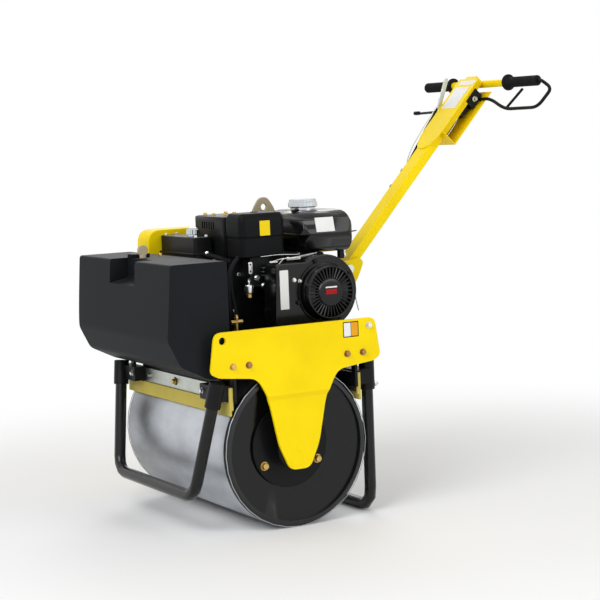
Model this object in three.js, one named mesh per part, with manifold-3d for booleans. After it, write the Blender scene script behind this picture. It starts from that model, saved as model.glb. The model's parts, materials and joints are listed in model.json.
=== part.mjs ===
// Walk-behind single-drum vibratory roller. Millimetres, +Z up, +Y to the rear, +X to the starter's side.
// Everything is laid out from the drum axle, and the finished group is moved so that its origin is
// at the middle of its footprint on the floor.
import * as THREE from "three";
import { mergeVertices } from "three/addons/utils/BufferGeometryUtils.js";
import Module from "manifold-3d";

const wasm = await Module();
wasm.setup();

// ---------------------------------------------------------------- driving dimensions
const GAP = 0.3; // between pieces that touch
const RUN = 5.5; // between pieces that move past each other
const PAST = 10; // how far a cutting shape runs past what it cuts
const LAP = 1; // how far shapes joined into one piece run into each other

const DRUM = { radius: 212.5, width: 600, wall: 9, edge: 12, edgeSteps: 3, facets: 72 };
const DRUM_END = { rim: 8, plate: 8, seatRadius: 112, boreRadius: 60, dish: 38 };
const FLANGE = { radius: 112, thickness: 8, bore: 30.2 };
const AXLE = { radius: 29.7, bossRadius: 46, inset: 26, flangeRadius: 60, flangeThickness: 8 };

const half = DRUM.width / 2;
const drumTop = 2 * DRUM.radius;

const PLATE = {
  thickness: 8,
  outerX: half + 20,
  topZ: drumTop + 110,
  topHalf: DRUM.radius + 27.5,
  lowHalf: DRUM.radius + 42.5,
  lowZ: drumTop + 6,
  shoulderZ: drumTop - 18,
  shoulderHalf: 120,
  waistZ: drumTop - 80,
  waistHalf: 86,
  tipHalf: 60,
  tipShoulderZ: DRUM.radius + 9.5,
  tipZ: DRUM.radius - 56.5,
  joggleZ: drumTop - 68,
  step: 6,
  heelWidth: 24,
  heelDrop: 12,
  corner: 20,
  heelRound: 6,
  shoulderRound: 24,
  waistRound: 30,
  tipRound: 18,
};
const BEAM = {
  nearY: DRUM.radius - 33.8,
  thickness: 8,
  lowZ: drumTop - 73,
  endZ: drumTop - 35,
  topZ: drumTop - 12.3,
  earZ: drumTop + 15,
  ear: 20,
  centreHalf: half - 68,
};
const DECK = {
  topZ: drumTop + 72,
  thickness: 8,
  frontY: 1 - BEAM.nearY,
  rearY: BEAM.nearY + 56.3,
  lip: 60,
  cornerX: half - 60,
  cornerDepth: 23,
};
const WIPER_PLATE = { thickness: 5, lowZ: drumTop - 87, topZ: drumTop - 35, half };
const WIPER = {
  thickness: 5.7,
  clearance: 6,
  topZ: drumTop - 73,
  endWidth: 6,
  endLowZ: drumTop - 95,
  endTopZ: drumTop - 36,
};

const FRONT_STAND = {
  radius: 16,
  sleeveRadius: 21,
  refZ: drumTop - 45,
  refHalf: half - 12.4,
  refY: -BEAM.nearY - 48.9,
  splay: 0.2054,
  lean: 0.1663,
  lowZ: 104,
  sleeveLowZ: drumTop - 85,
  sleeveTopZ: drumTop - 21,
  corner: 46,
};
const REAR_STAND = {
  radius: 16,
  sleeveRadius: 21,
  slide: 0.5,
  halfWidth: half - 29,
  y: BEAM.nearY + 61.3,
  legTopZ: drumTop + 15,
  sleeveLowZ: drumTop - 89,
  sleeveTopZ: drumTop + 27,
  corner: 50,
};
const BLOCK = { innerX: half - 100, outerX: half, lowZ: drumTop - 70, topZ: drumTop - 31 };

const tankRearY = DECK.frontY - GAP;
const TANK = {
  half: half - 15,
  rearY: tankRearY,
  frontTopY: tankRearY - 161,
  frontLowY: tankRearY - 175,
  topZ: DECK.topZ + 215,
  creaseZ: DECK.topZ + 22,
  lowY: tankRearY - 142,
  lowZ: DECK.topZ - 45,
  bottomY: tankRearY - 62,
  bottomZ: BEAM.topZ + GAP,
  corner: 9,
  rearRound: 2,
  topRound: 8,
  frontRound: 12,
  wall: 6,
};
const NOTCH = { half: 78, depth: 52, lowZ: TANK.topZ - 52, slope: 14, corner: 6 };
const TANK_CAP = { x: -62, y: TANK.rearY - 84, radius: 30, height: 11 };
const TAP = { x: -18, y: TANK.rearY - 92, stem: 5, base: 9, knob: 14, knobWidth: 10, height: 34 };
const SPRINKLER = { radius: 9, half: half - 30, y: DECK.frontY + 32 };

const CRANK = { y: DECK.rearY - 82, z: DECK.topZ + 106 };
const CRANKCASE = {
  x0: -90,
  x1: 118,
  y0: CRANK.y - 65,
  y1: CRANK.y + 75,
  topZ: CRANK.z + 45,
  shoulder: 58,
  draft: 8,
  footRound: 6,
  topRound: 20,
  postInset: 24,
  postWidth: 16,
};
const CYLINDER = {
  length: 140,
  width: 118,
  height: 88,
  fins: 6,
  fin: 5,
  head: 22,
  tilt: 25,
  x: 6,
  rootZ: CRANK.z - 11,
  root: 24,
  wall: 12,
};
const lean = THREE.MathUtils.degToRad(CYLINDER.tilt);
const headTopZ =
  CYLINDER.rootZ + CYLINDER.length * Math.sin(lean) + (CYLINDER.height / 2) * Math.cos(lean);
const headFrontY =
  CRANKCASE.y0 - CYLINDER.length * Math.cos(lean) - (CYLINDER.height / 2) * Math.sin(lean);

const BLOWER = { inset: 13, corner: 14 };
const SHROUD = {
  x0: 150,
  x1: 214.7,
  radius: 100,
  frontY: CRANK.y - 155,
  lowZ: CRANK.z - 92,
  topZ: CRANK.z + 83,
  draft: 8,
  corner: 16,
};
const STARTER = { x1: 248, radius: 76, edge: 12, soft: 3.6 };
const FUEL_TANK = {
  x0: -42,
  x1: 172,
  y0: CRANK.y - 38,
  y1: CRANK.y + 131,
  lowZ: CRANK.z + 101,
  seamZ: CRANK.z + 153,
  topZ: CRANK.z + 216,
  lip: 5,
  seam: 3,
  draw: 16,
  rearDraw: 24,
  corner: 34,
  edge: 24,
  seamRound: 4,
};
const FUEL_CAP = { x: 84, y: CRANK.y + 17, radius: 40, neck: 34, topZ: CRANK.z + 246 };
const AIR_CLEANER = {
  x0: 52,
  x1: 148,
  y0: CRANK.y - 213,
  y1: CRANK.y - 75,
  lowZ: CRANK.z + 101,
  topZ: CRANK.z + 218,
  corner: 12,
};
const CARBURETTOR = { x1: 128, y0: CRANK.y - 179, y1: CRANK.y - 119, lowZ: CRANK.z + 19, corner: 8 };
const COWL = { thickness: 4, corner: 14 };
const MUFFLER = { x0: -130, x1: 46, y0: CRANK.y - 211, y1: CRANK.y - 103, topZ: CRANK.z + 209, corner: 16 };
const LIFT_EYE = {
  x: -60,
  thickness: 8,
  y: CRANK.y - 27,
  half: 37,
  topZ: CRANK.z + 250,
  hole: 9,
  round: 16,
};
const DRIVE_SHAFT = { radius: 12.7 };
const GUARD = {
  x0: 8 - half,
  x1: 80 - half,
  frontY: CRANK.y - 309,
  frontLowY: CRANK.y - 323,
  topZ: CRANK.z + 169,
  topEndY: CRANK.y - 93,
  radius: 96,
  bellyDrop: 4,
  frontRound: 36,
  rearRound: 40,
};
const OIL_TANK = {
  x0: GUARD.x1 + 6,
  x1: -4,
  y0: headFrontY - 64.5,
  y1: headFrontY - 8.5,
  topZ: CRANK.z + 154,
  corner: 8,
};
const OIL_CAP = { x: -66, radius: 18, height: 27 };

const PIVOT = { y: DECK.rearY + 110, z: DECK.topZ + 143, pin: 8, bore: 8.3, head: 13, headWidth: 6 };
const HANDLE = { angle: 47.5, width: 50, depth: 28, wall: 3, tail: 26, length: 712 };
const BRACKET = {
  cheek: 6,
  clearance: 2.3,
  stopFrom: 22,
  stopTo: 42,
  stop: 6,
  baseLowZ: DECK.topZ - 57,
  baseDepth: 20,
  baseTopZ: DECK.topZ + 20,
  flange: 24,
  backY: DECK.rearY + 141,
  backZ: DECK.topZ + 119,
  noseAlong: 46,
  noseIn: 24,
  noseOut: -4,
  crownOut: 30,
  browAlong: -32,
  browOut: 20,
  footRound: 4,
  noseRound: 8,
  crownRound: 24,
  backRound: 24,
};
const BAR = { along: 714.6, below: -24.2, radius: 11, half: 272 };
const GRIP = { radius: 15, inner: 132, flange: 23.5, flangeWidth: 8 };
const CONSOLE = {
  half: 48,
  tip: 432,
  point: 46,
  end: 700,
  sheet: 3,
  boxFrom: 497,
  depth: 45,
  endRound: 4,
  shoulderRound: 30,
  tipRound: 26,
};
// The bail's bends, in the handle's own frame.
const BAIL = {
  radius: 5,
  strut: 4,
  bend: 26,
  from: 665,
  exit: 668,
  elbow: [120, 656, -73],
  low: [262, 662, -78],
  outer: [306, 712, -56],
  strutFrom: [124, 659, -73],
  strutTo: [188, 706, -46],
};
const LEVER = { thickness: 3, width: 14, tail: 22, from: 604, to: 672, out0: 25, out1: 54 };
const ROD = { radius: 4, reach: 200, along: 590, out: 0, drop: 5 };
const CABLE = {
  radius: 3,
  from: 600,
  out: 20,
  edge: 507,
  edgeOut: 12,
  tip: 438,
  join: 380,
  to: 262,
  sideOut: 8,
  bend: 40,
};

// ---------------------------------------------------------------- materials
const paint = (color, roughness = 0.4, metalness = 0) =>
  new THREE.MeshStandardMaterial({ color, roughness, metalness });
const YELLOW = paint(0xf4cf12, 0.35);
const BLACK = paint(0x1b1d1e, 0.45);
const CHARCOAL = paint(0x34393b, 0.6);
const STEEL = paint(0xa9adb0, 0.35, 1);
const ZINC = paint(0x9aa39c, 0.45, 1);
const OLIVE = paint(0xb4a432, 0.5);
const ALUMINIUM = paint(0x8d8f90, 0.5, 1);
const CHROME = paint(0xd8dadc, 0.15, 1);
const RUBBER = paint(0x17181a, 0.8);
const BEIGE = paint(0xb9ab8c, 0.6);

// ---------------------------------------------------------------- solids
function solid(geometry) {
  const plain = geometry.index ? geometry.toNonIndexed() : geometry.clone();
  plain.deleteAttribute("normal");
  plain.deleteAttribute("uv");
  const merged = mergeVertices(plain, 1e-4);
  return new wasm.Manifold(
    new wasm.Mesh({
      numProp: 3,
      vertProperties: new Float32Array(merged.attributes.position.array),
      triVerts: new Uint32Array(merged.index.array),
    }),
  );
}

function geometryOf(body) {
  const mesh = body.getMesh();
  const geometry = new THREE.BufferGeometry();
  geometry.setAttribute("position", new THREE.BufferAttribute(mesh.vertProperties.slice(), 3));
  geometry.setIndex(new THREE.BufferAttribute(mesh.triVerts.slice(), 1));
  geometry.computeVertexNormals();
  return geometry;
}

const join = (first, ...rest) => geometryOf(rest.reduce((sum, g) => sum.add(solid(g)), solid(first)));
const cut = (first, ...rest) => geometryOf(rest.reduce((left, g) => left.subtract(solid(g)), solid(first)));
const common = (first, second) => geometryOf(solid(first).intersect(solid(second)));

function box(x0, x1, y0, y1, z0, z1) {
  const geometry = new THREE.BoxGeometry(x1 - x0, y1 - y0, z1 - z0);
  return geometry.translate((x0 + x1) / 2, (y0 + y1) / 2, (z0 + z1) / 2);
}

// Outline points in (first axis, second axis); each may carry a corner radius as a third number.
function outline(points) {
  const shape = new THREE.Shape();
  const count = points.length;
  points.forEach(([u, v, radius = 0], i) => {
    const here = new THREE.Vector2(u, v);
    const before = new THREE.Vector2(...points[(i + count - 1) % count].slice(0, 2)).sub(here);
    const after = new THREE.Vector2(...points[(i + 1) % count].slice(0, 2)).sub(here);
    const reach = Math.min(radius, 0.49 * before.length(), 0.49 * after.length());
    const start = here.clone().addScaledVector(before.normalize(), reach);
    const end = here.clone().addScaledVector(after.normalize(), reach);
    if (i === 0) shape.moveTo(start.x, start.y);
    else shape.lineTo(start.x, start.y);
    if (reach > 0) shape.quadraticCurveTo(here.x, here.y, end.x, end.y);
  });
  shape.closePath();
  return shape;
}

const rectangle = (a0, a1, b0, b1, corner) =>
  outline([
    [a0, b0, corner],
    [a1, b0, corner],
    [a1, b1, corner],
    [a0, b1, corner],
  ]);

const AXIS = {
  x: new THREE.Vector3(1, 0, 0),
  y: new THREE.Vector3(0, 1, 0),
  z: new THREE.Vector3(0, 0, 1),
};

function extruded(shape, depth, curveSegments = 5) {
  return new THREE.ExtrudeGeometry(shape, { depth, bevelEnabled: false, curveSegments, steps: 1 });
}

// A plate whose outline lies in Y and Z, from x0 to x1.
function plateX(shape, x0, x1, curveSegments) {
  const turn = new THREE.Matrix4().makeBasis(AXIS.y, AXIS.z, AXIS.x);
  return extruded(shape, x1 - x0, curveSegments).applyMatrix4(turn).translate(x0, 0, 0);
}

// A plate whose outline lies in X and Z, from y0 to y1.
function plateY(shape, y0, y1, curveSegments) {
  const turn = new THREE.Matrix4().makeBasis(AXIS.x, AXIS.z, AXIS.y.clone().negate());
  return extruded(shape, y1 - y0, curveSegments).applyMatrix4(turn).translate(0, y1, 0);
}

// A plate whose outline lies in X and Y, from z0 to z1.
function plateZ(shape, z0, z1, curveSegments) {
  return extruded(shape, z1 - z0, curveSegments).translate(0, 0, z0);
}

// A body with one outline seen from the side, one from the front and one from above.
function threeViews(side, front, plan, [x0, x1], [y0, y1], [z0, z1]) {
  return common(common(plateX(side, x0, x1, 5), plateY(front, y0, y1, 5)), plateZ(plan, z0, z1, 5));
}

// A box with every edge rounded.
function roundedBox(x0, x1, y0, y1, z0, z1, corner) {
  const side = rectangle(y0, y1, z0, z1, corner);
  const front = rectangle(x0, x1, z0, z1, corner);
  return threeViews(side, front, rectangle(x0, x1, y0, y1, corner), [x0, x1], [y0, y1], [z0, z1]);
}

// A body turned about the Y axis; the profile is a list of (radius, height) that closes on itself.
function turned(profile, segments = 32) {
  const area = profile.reduce((sum, [r, h], i) => {
    const [r2, h2] = profile[(i + 1) % profile.length];
    return sum + r * h2 - r2 * h;
  }, 0);
  const ordered = area > 0 ? profile : [...profile].reverse();
  const points = [...ordered, ordered[0]].map(([r, h]) => new THREE.Vector2(r, h));
  return new THREE.LatheGeometry(points, segments);
}

const turnedX = (profile, segments) => turned(profile, segments).rotateZ(-Math.PI / 2);
const turnedZ = (profile, segments) => turned(profile, segments).rotateX(Math.PI / 2);

// A plain rod between two heights of one axis.
const disc = (radius, h0, h1, inner = 0) => [[inner, h0], [radius, h0], [radius, h1], [inner, h1]];
const rodX = (radius, x0, x1, y, z, segments = 24) =>
  turnedX(disc(radius, x0, x1), segments).translate(0, y, z);
const rodZ = (radius, z0, z1, x, y, segments = 24) =>
  turnedZ(disc(radius, z0, z1), segments).translate(x, y, 0);

// A round bar along a path of straight runs joined by bends of one radius.
function bentBar(points, radius, bend, { steps = 44, sides = 12 } = {}) {
  const path = new THREE.CurvePath();
  const corners = points.map((p) => new THREE.Vector3(...p));
  let from = corners[0];
  for (let i = 1; i < corners.length - 1; i += 1) {
    const back = corners[i - 1].clone().sub(corners[i]);
    const on = corners[i + 1].clone().sub(corners[i]);
    const reach = Math.min(bend, 0.45 * back.length(), 0.45 * on.length());
    const start = corners[i].clone().addScaledVector(back.normalize(), reach);
    const end = corners[i].clone().addScaledVector(on.normalize(), reach);
    path.add(new THREE.LineCurve3(from, start));
    path.add(new THREE.QuadraticBezierCurve3(start, corners[i].clone(), end));
    from = end;
  }
  path.add(new THREE.LineCurve3(from, corners[corners.length - 1]));
  return roundAlong(path, radius, steps, sides);
}

function roundAlong(path, radius, steps, sides) {
  const ring = new THREE.Shape();
  for (let i = 0; i < sides; i += 1) {
    const angle = (2 * Math.PI * (i + 0.5)) / sides;
    const point = [radius * Math.cos(angle), radius * Math.sin(angle)];
    if (i === 0) ring.moveTo(...point);
    else ring.lineTo(...point);
  }
  ring.closePath();
  return new THREE.ExtrudeGeometry(ring, { steps, extrudePath: path, bevelEnabled: false });
}

// ---------------------------------------------------------------- scene
const roller = new THREE.Group();
const layout = new THREE.Group(); // laid out from the drum axle
roller.add(layout);

function add(name, geometry, material, parent = layout) {
  const mesh = new THREE.Mesh(geometry, material);
  mesh.name = name;
  parent.add(mesh);
  return mesh;
}

const SIDES = [["left", -1], ["right", 1]];
const axleZ = DRUM.radius * Math.cos(Math.PI / DRUM.facets); // a flat of the drum lies on the floor
const plateInnerX = PLATE.outerX - PLATE.thickness;
const deckLowZ = DECK.topZ - DECK.thickness;
const engineZ = DECK.topZ + GAP;

// ---------------------------------------------------------------- drum
const drum = new THREE.Group();
drum.position.set(0, 0, axleZ);
layout.add(drum);

function drumShell() {
  const inner = DRUM.radius - DRUM.wall;
  const { edge, edgeSteps, radius } = DRUM;
  const round = Array.from({ length: edgeSteps + 1 }, (_, i) => (i * Math.PI) / (2 * edgeSteps));
  const right = round.map((a) => [radius - edge * (1 - Math.cos(a)), half - edge * (1 - Math.sin(a))]);
  right[0][0] = radius;
  const left = right.map(([r, x]) => [r, -x]).reverse();
  const lipRadius = inner - DRUM_END.rim;
  const lip = [[lipRadius, half], [lipRadius, half - DRUM_END.rim], [inner, half - DRUM_END.rim]];
  const lipLeft = lip.map(([r, x]) => [r, -x]).reverse();
  return turnedX([...left, ...right, ...lip, ...lipLeft], DRUM.facets).rotateX(Math.PI / DRUM.facets);
}
add("drum_shell", drumShell(), STEEL, drum);

const drumEndOuter = half - DRUM_END.rim - GAP; // outer face of the end plate at the shell
const drumSeatX = drumEndOuter - DRUM_END.dish; // outer face of the end plate under the flange
for (const [side, sign] of SIDES) {
  const shellInner = DRUM.radius - DRUM.wall - GAP;
  const plate = [
    [DRUM_END.boreRadius, drumSeatX],
    [DRUM_END.seatRadius + DRUM_END.plate / 2, drumSeatX],
    [shellInner - DRUM_END.plate, drumEndOuter],
    [shellInner, drumEndOuter],
    [shellInner, drumEndOuter - DRUM_END.plate],
    [DRUM_END.seatRadius + DRUM_END.plate, drumSeatX - DRUM_END.plate],
    [DRUM_END.boreRadius, drumSeatX - DRUM_END.plate],
  ].map(([r, x]) => [r, sign * x]);
  add(`drum_end_${side}`, turnedX(plate, DRUM.facets).rotateX(Math.PI / DRUM.facets), BLACK, drum);
  const flangeFace = drumSeatX + GAP + FLANGE.thickness;
  const flange = [
    [FLANGE.bore, drumSeatX + GAP],
    [FLANGE.radius, drumSeatX + GAP],
    [FLANGE.radius, flangeFace],
    [FLANGE.bore, flangeFace],
  ].map(([r, x]) => [r, sign * x]);
  add(`drum_flange_${side}`, turnedX(flange, 48), BLACK, drum);
}

// ---------------------------------------------------------------- side plates and axles
function sidePlateOutline() {
  const right = [
    [PLATE.topHalf, PLATE.topZ, PLATE.corner],
    [PLATE.lowHalf, PLATE.lowZ, PLATE.corner],
    [PLATE.lowHalf - PLATE.heelWidth, PLATE.lowZ - PLATE.heelDrop, PLATE.heelRound],
    [PLATE.shoulderHalf, PLATE.shoulderZ, PLATE.shoulderRound],
    [PLATE.waistHalf, PLATE.waistZ, PLATE.waistRound],
    [PLATE.tipHalf, PLATE.tipShoulderZ, PLATE.tipRound],
    [PLATE.tipHalf / 2, PLATE.tipZ, PLATE.tipRound],
  ];
  const left = right.map(([y, z, r]) => [-y, z, r]).reverse();
  return outline([...right, ...left]);
}

// The plate is joggled inwards above its tongue, which stands inside the drum's rim.
function sidePlate(sign) {
  const outer = PLATE.outerX;
  const inner = plateInnerX;
  const { joggleZ, step } = PLATE;
  const bend = [
    [outer, PLATE.topZ + PAST],
    [inner, PLATE.topZ + PAST],
    [inner, joggleZ],
    [inner - step, joggleZ - 2 * step],
    [inner - step, PLATE.tipZ - PAST],
    [outer - step, PLATE.tipZ - PAST],
    [outer - step, joggleZ - 2 * step],
    [outer, joggleZ],
  ].map(([x, z]) => [sign * x, z]);
  const reach = PLATE.lowHalf + PAST;
  const sheet = plateY(outline(sign > 0 ? bend : [...bend].reverse()), -reach, reach);
  const [x0, x1] = sign > 0 ? [inner - 2 * step, outer + step] : [-outer - step, 2 * step - inner];
  const blank = plateX(sidePlateOutline(), x0, x1, 4);
  return common(sheet, blank);
}

const tongueInnerX = plateInnerX - PLATE.step;
for (const [side, sign] of SIDES) {
  add(`side_plate_${side}`, sidePlate(sign), YELLOW);
  const face = tongueInnerX - GAP;
  const bossEnd = drumSeatX + GAP + FLANGE.thickness + RUN;
  const end = drumSeatX - AXLE.inset;
  const carrier = [
    [0, face],
    [AXLE.flangeRadius, face],
    [AXLE.flangeRadius, face - AXLE.flangeThickness],
    [AXLE.bossRadius, face - AXLE.flangeThickness],
    [AXLE.bossRadius, bossEnd],
    [AXLE.radius, bossEnd],
    [AXLE.radius, end],
    [0, end],
  ].map(([r, x]) => [r, sign * x]);
  add(`drum_axle_${side}`, turnedX(carrier, 32), BLACK, drum);
}

// ---------------------------------------------------------------- deck and cross beams
const deckHalf = plateInnerX - GAP;
const { cornerX, cornerDepth, rearY: deckRearY } = DECK;
add(
  "deck",
  join(
    box(-deckHalf, deckHalf, DECK.frontY, deckRearY - cornerDepth, deckLowZ, DECK.topZ),
    box(-cornerX, cornerX, deckRearY - 2 * cornerDepth, deckRearY, deckLowZ, DECK.topZ),
    box(-cornerX, cornerX, deckRearY - DECK.thickness, deckRearY, DECK.topZ - DECK.lip, DECK.topZ),
  ),
  BLACK,
);

const beamFaceY = BEAM.nearY + BEAM.thickness; // outer face of each beam
const wiperPlateFaceY = beamFaceY + GAP + WIPER_PLATE.thickness;
const wiperFaceY = wiperPlateFaceY + GAP + WIPER.thickness;

// Outlines below are drawn for the rear end; the front end is the same piece at -y.
const spanY = (end, near, far) => (end > 0 ? [near, far] : [-far, -near]);

// Each beam carries its load on a raised middle and is welded to the side plates by two ears.
function beamOutline() {
  const { lowZ, topZ, endZ, earZ, ear, centreHalf } = BEAM;
  const right = [
    [deckHalf, lowZ],
    [deckHalf, earZ],
    [deckHalf - ear, earZ],
    [deckHalf - ear, endZ],
    [centreHalf, endZ],
    [centreHalf, topZ],
  ];
  const left = right.map(([x, z]) => [-x, z]).reverse();
  return outline([...right, ...left]);
}

const wiperInnerY = wiperPlateFaceY + GAP;
const wiperLowZ = axleZ + Math.sqrt((DRUM.radius + WIPER.clearance) ** 2 - wiperInnerY ** 2);

function wiper(end) {
  const x0 = WIPER_PLATE.half + GAP;
  const x1 = x0 + WIPER.endWidth;
  const [y0, y1] = spanY(end, wiperInnerY, wiperFaceY);
  const [e0, e1] = spanY(end, beamFaceY + GAP, wiperFaceY);
  return join(
    box(-x1, x1, y0, y1, wiperLowZ, WIPER.topZ),
    box(x0, x1, e0, e1, WIPER.endLowZ, WIPER.endTopZ),
    box(-x1, -x0, e0, e1, WIPER.endLowZ, WIPER.endTopZ),
  );
}

for (const [end, place] of [["front", -1], ["rear", 1]]) {
  add(`${end}_beam`, plateY(beamOutline(), ...spanY(place, BEAM.nearY, beamFaceY)), BLACK);
  const [w0, w1] = spanY(place, beamFaceY + GAP, wiperPlateFaceY);
  add(
    `${end}_scraper_plate`,
    box(-WIPER_PLATE.half, WIPER_PLATE.half, w0, w1, WIPER_PLATE.lowZ, WIPER_PLATE.topZ),
    ZINC,
  );
  add(`${end}_scraper`, wiper(place), OLIVE);
}

// ---------------------------------------------------------------- front stand
// Its legs lean forward and come together downwards.
function standPoint(sign, z) {
  const s = FRONT_STAND;
  return [sign * (s.refHalf + (z - s.refZ) * s.splay), s.refY + (z - s.refZ) * s.lean, z];
}

const frontLegTopZ = FRONT_STAND.sleeveTopZ - FRONT_STAND.radius / 2;
add(
  "front_stand",
  bentBar(
    [
      standPoint(-1, frontLegTopZ),
      standPoint(-1, FRONT_STAND.lowZ),
      standPoint(1, FRONT_STAND.lowZ),
      standPoint(1, frontLegTopZ),
    ],
    FRONT_STAND.radius,
    FRONT_STAND.corner,
  ),
  BLACK,
);

function straightBar(from, to, radius, segments = 24) {
  const a = new THREE.Vector3(...from);
  const b = new THREE.Vector3(...to);
  const bar = new THREE.CylinderGeometry(radius, radius, a.distanceTo(b), segments);
  const turn = new THREE.Quaternion().setFromUnitVectors(AXIS.y, b.clone().sub(a).normalize());
  return bar.applyQuaternion(turn).translate(...a.add(b).multiplyScalar(0.5).toArray());
}

// A block bolted behind the scraper plate holds a short sleeve round each leg.
function clamp(place, sign, legY, sleeve, bore) {
  const [y0, y1] = spanY(place, wiperInnerY, legY);
  const [x0, x1] = sign > 0 ? [BLOCK.innerX, BLOCK.outerX] : [-BLOCK.outerX, -BLOCK.innerX];
  return cut(join(box(x0, x1, y0, y1, BLOCK.lowZ, BLOCK.topZ), sleeve), bore);
}

for (const [side, sign] of SIDES) {
  const { radius, sleeveRadius, sleeveLowZ, sleeveTopZ, corner, refY } = FRONT_STAND;
  const sleeve = straightBar(standPoint(sign, sleeveLowZ), standPoint(sign, sleeveTopZ), sleeveRadius);
  const bore = straightBar(
    standPoint(sign, sleeveLowZ - corner),
    standPoint(sign, sleeveTopZ - GAP - radius / 4),
    radius + GAP,
  );
  add(`front_stand_clamp_${side}`, clamp(-1, sign, -refY, sleeve, bore), BLACK);
}

// ---------------------------------------------------------------- rear stand, which slides in its sleeves
const rearFootZ = REAR_STAND.radius * Math.cos(Math.PI / 12);
add(
  "rear_stand",
  bentBar(
    [
      [-REAR_STAND.halfWidth, REAR_STAND.y, REAR_STAND.legTopZ],
      [-REAR_STAND.halfWidth, REAR_STAND.y, rearFootZ],
      [REAR_STAND.halfWidth, REAR_STAND.y, rearFootZ],
      [REAR_STAND.halfWidth, REAR_STAND.y, REAR_STAND.legTopZ],
    ],
    REAR_STAND.radius,
    REAR_STAND.corner,
  ),
  BLACK,
);
for (const [side, sign] of SIDES) {
  const { sleeveRadius, radius, slide, sleeveLowZ, sleeveTopZ, halfWidth, corner, y } = REAR_STAND;
  const x = sign * halfWidth;
  const sleeve = rodZ(sleeveRadius, sleeveLowZ, sleeveTopZ, x, y);
  const bore = rodZ(radius + slide, sleeveLowZ - corner, sleeveTopZ + corner, x, y);
  add(`rear_stand_clamp_${side}`, clamp(1, sign, y, sleeve, bore), BLACK);
}

// ---------------------------------------------------------------- water tank
// The tank's outside, or its inside when it is drawn inset by the wall.
function tankBody(inset) {
  const t = TANK;
  const profile = outline([
    [t.rearY - inset, t.bottomZ + inset, t.rearRound],
    [t.rearY - inset, t.topZ - inset, t.topRound],
    [t.frontTopY + inset, t.topZ - inset, t.topRound],
    [t.frontLowY + inset, t.creaseZ, t.frontRound],
    [t.lowY + inset / 2, t.lowZ + inset, t.frontRound],
    [t.bottomY, t.bottomZ + inset, t.frontRound],
  ]);
  const side = t.half - inset;
  const plan = outline([
    [-side, t.rearY - inset],
    [-side, t.frontLowY + inset, t.corner],
    [side, t.frontLowY + inset, t.corner],
    [side, t.rearY - inset],
  ]);
  return common(plateX(profile, -side, side, 4), plateZ(plan, t.bottomZ, t.topZ, 5));
}

function tankNotch(inset) {
  const backY = TANK.frontTopY + NOTCH.depth + inset;
  const lowZ = NOTCH.lowZ - inset;
  const lip = outline([
    [TANK.frontLowY, lowZ - NOTCH.slope],
    [backY, lowZ, NOTCH.corner],
    [backY, TANK.topZ + TANK.wall],
    [TANK.frontLowY - TANK.wall, TANK.topZ + TANK.wall],
    [TANK.frontLowY - TANK.wall, lowZ - NOTCH.slope],
  ]);
  return plateX(lip, -NOTCH.half - inset, NOTCH.half + inset, 4);
}

// A hollow moulding, filled through a neck under its cap.
function waterTank() {
  const shell = cut(tankBody(0), tankNotch(0));
  const hollow = cut(tankBody(TANK.wall), tankNotch(TANK.wall));
  const neck = TANK_CAP.radius - TANK.wall;
  const bore = rodZ(neck, TANK.topZ - 2 * TANK.wall, TANK.topZ + PAST, TANK_CAP.x, TANK_CAP.y);
  return cut(shell, hollow, bore);
}
add("water_tank", waterTank(), CHARCOAL);

const tankTop = TANK.topZ + GAP;
const tankCap = rodZ(TANK_CAP.radius, tankTop, tankTop + TANK_CAP.height, TANK_CAP.x, TANK_CAP.y, 28);
add("water_tank_cap", tankCap, BLACK);
const tapZ = tankTop + TAP.height - TAP.knob;
add(
  "water_tap",
  join(
    rodZ(TAP.base, tankTop, tankTop + TAP.base, TAP.x, TAP.y),
    rodZ(TAP.stem, tankTop + TAP.stem, tapZ, TAP.x, TAP.y),
    rodX(TAP.knob, TAP.x - TAP.knobWidth / 2, TAP.x + TAP.knobWidth / 2, TAP.y, tapZ),
  ),
  BEIGE,
);
const sprinklerZ = deckLowZ - GAP - SPRINKLER.radius;
add(
  "sprinkler_pipe",
  rodX(SPRINKLER.radius, -SPRINKLER.half, SPRINKLER.half, SPRINKLER.y, sprinklerZ, 12),
  BLACK,
);

// ---------------------------------------------------------------- engine
// Two posts on the crankcase carry the fuel tank.
function crankcase() {
  const { x0, x1, y0, y1, topZ, shoulder, draft, footRound, topRound } = CRANKCASE;
  const { postInset, postWidth } = CRANKCASE;
  const body = outline([
    [y0, engineZ, footRound],
    [y1, engineZ, footRound],
    [y1, topZ - shoulder, topRound],
    [y1 - shoulder / 2, topZ, topRound],
    [y0 + draft, topZ, draft],
    [y0, topZ - shoulder / 2, draft],
  ]);
  const posts = [FUEL_TANK.x0 + postInset, x1 - postInset].map((x) =>
    box(x, x + postWidth, y0 + draft, y1 - shoulder / 2, topZ - postWidth, FUEL_TANK.lowZ - GAP),
  );
  return join(plateX(body, x0, x1, 4), ...posts);
}
add("engine_crankcase", crankcase(), BLACK);

// The cylinder leans forward from the crankcase, with its fins between the case and the head.
function engineCylinder() {
  const { length, width, height, fins, fin, head, x, root, wall } = CYLINDER;
  const pitch = (length - head - root) / fins;
  const slab = (y0, y1, inset) =>
    box(x - width / 2 + inset, x + width / 2 - inset, y0, y1, inset - height / 2, height / 2 - inset);
  const pieces = [slab(-length, LAP + head - length, 0), slab(-length, root, wall)];
  for (let i = 0; i < fins; i += 1) {
    const y1 = -root - i * pitch;
    pieces.push(slab(y1 - fin, y1, 0));
  }
  const leaning = join(...pieces).rotateX(-lean).translate(0, CRANKCASE.y0, CYLINDER.rootZ);
  const ahead = box(x - width, x + width, CRANKCASE.y0 - 2 * length, CRANKCASE.y0 - GAP, 0, 2 * headTopZ);
  return common(leaning, ahead);
}
add("engine_cylinder", engineCylinder(), ALUMINIUM);

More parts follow.
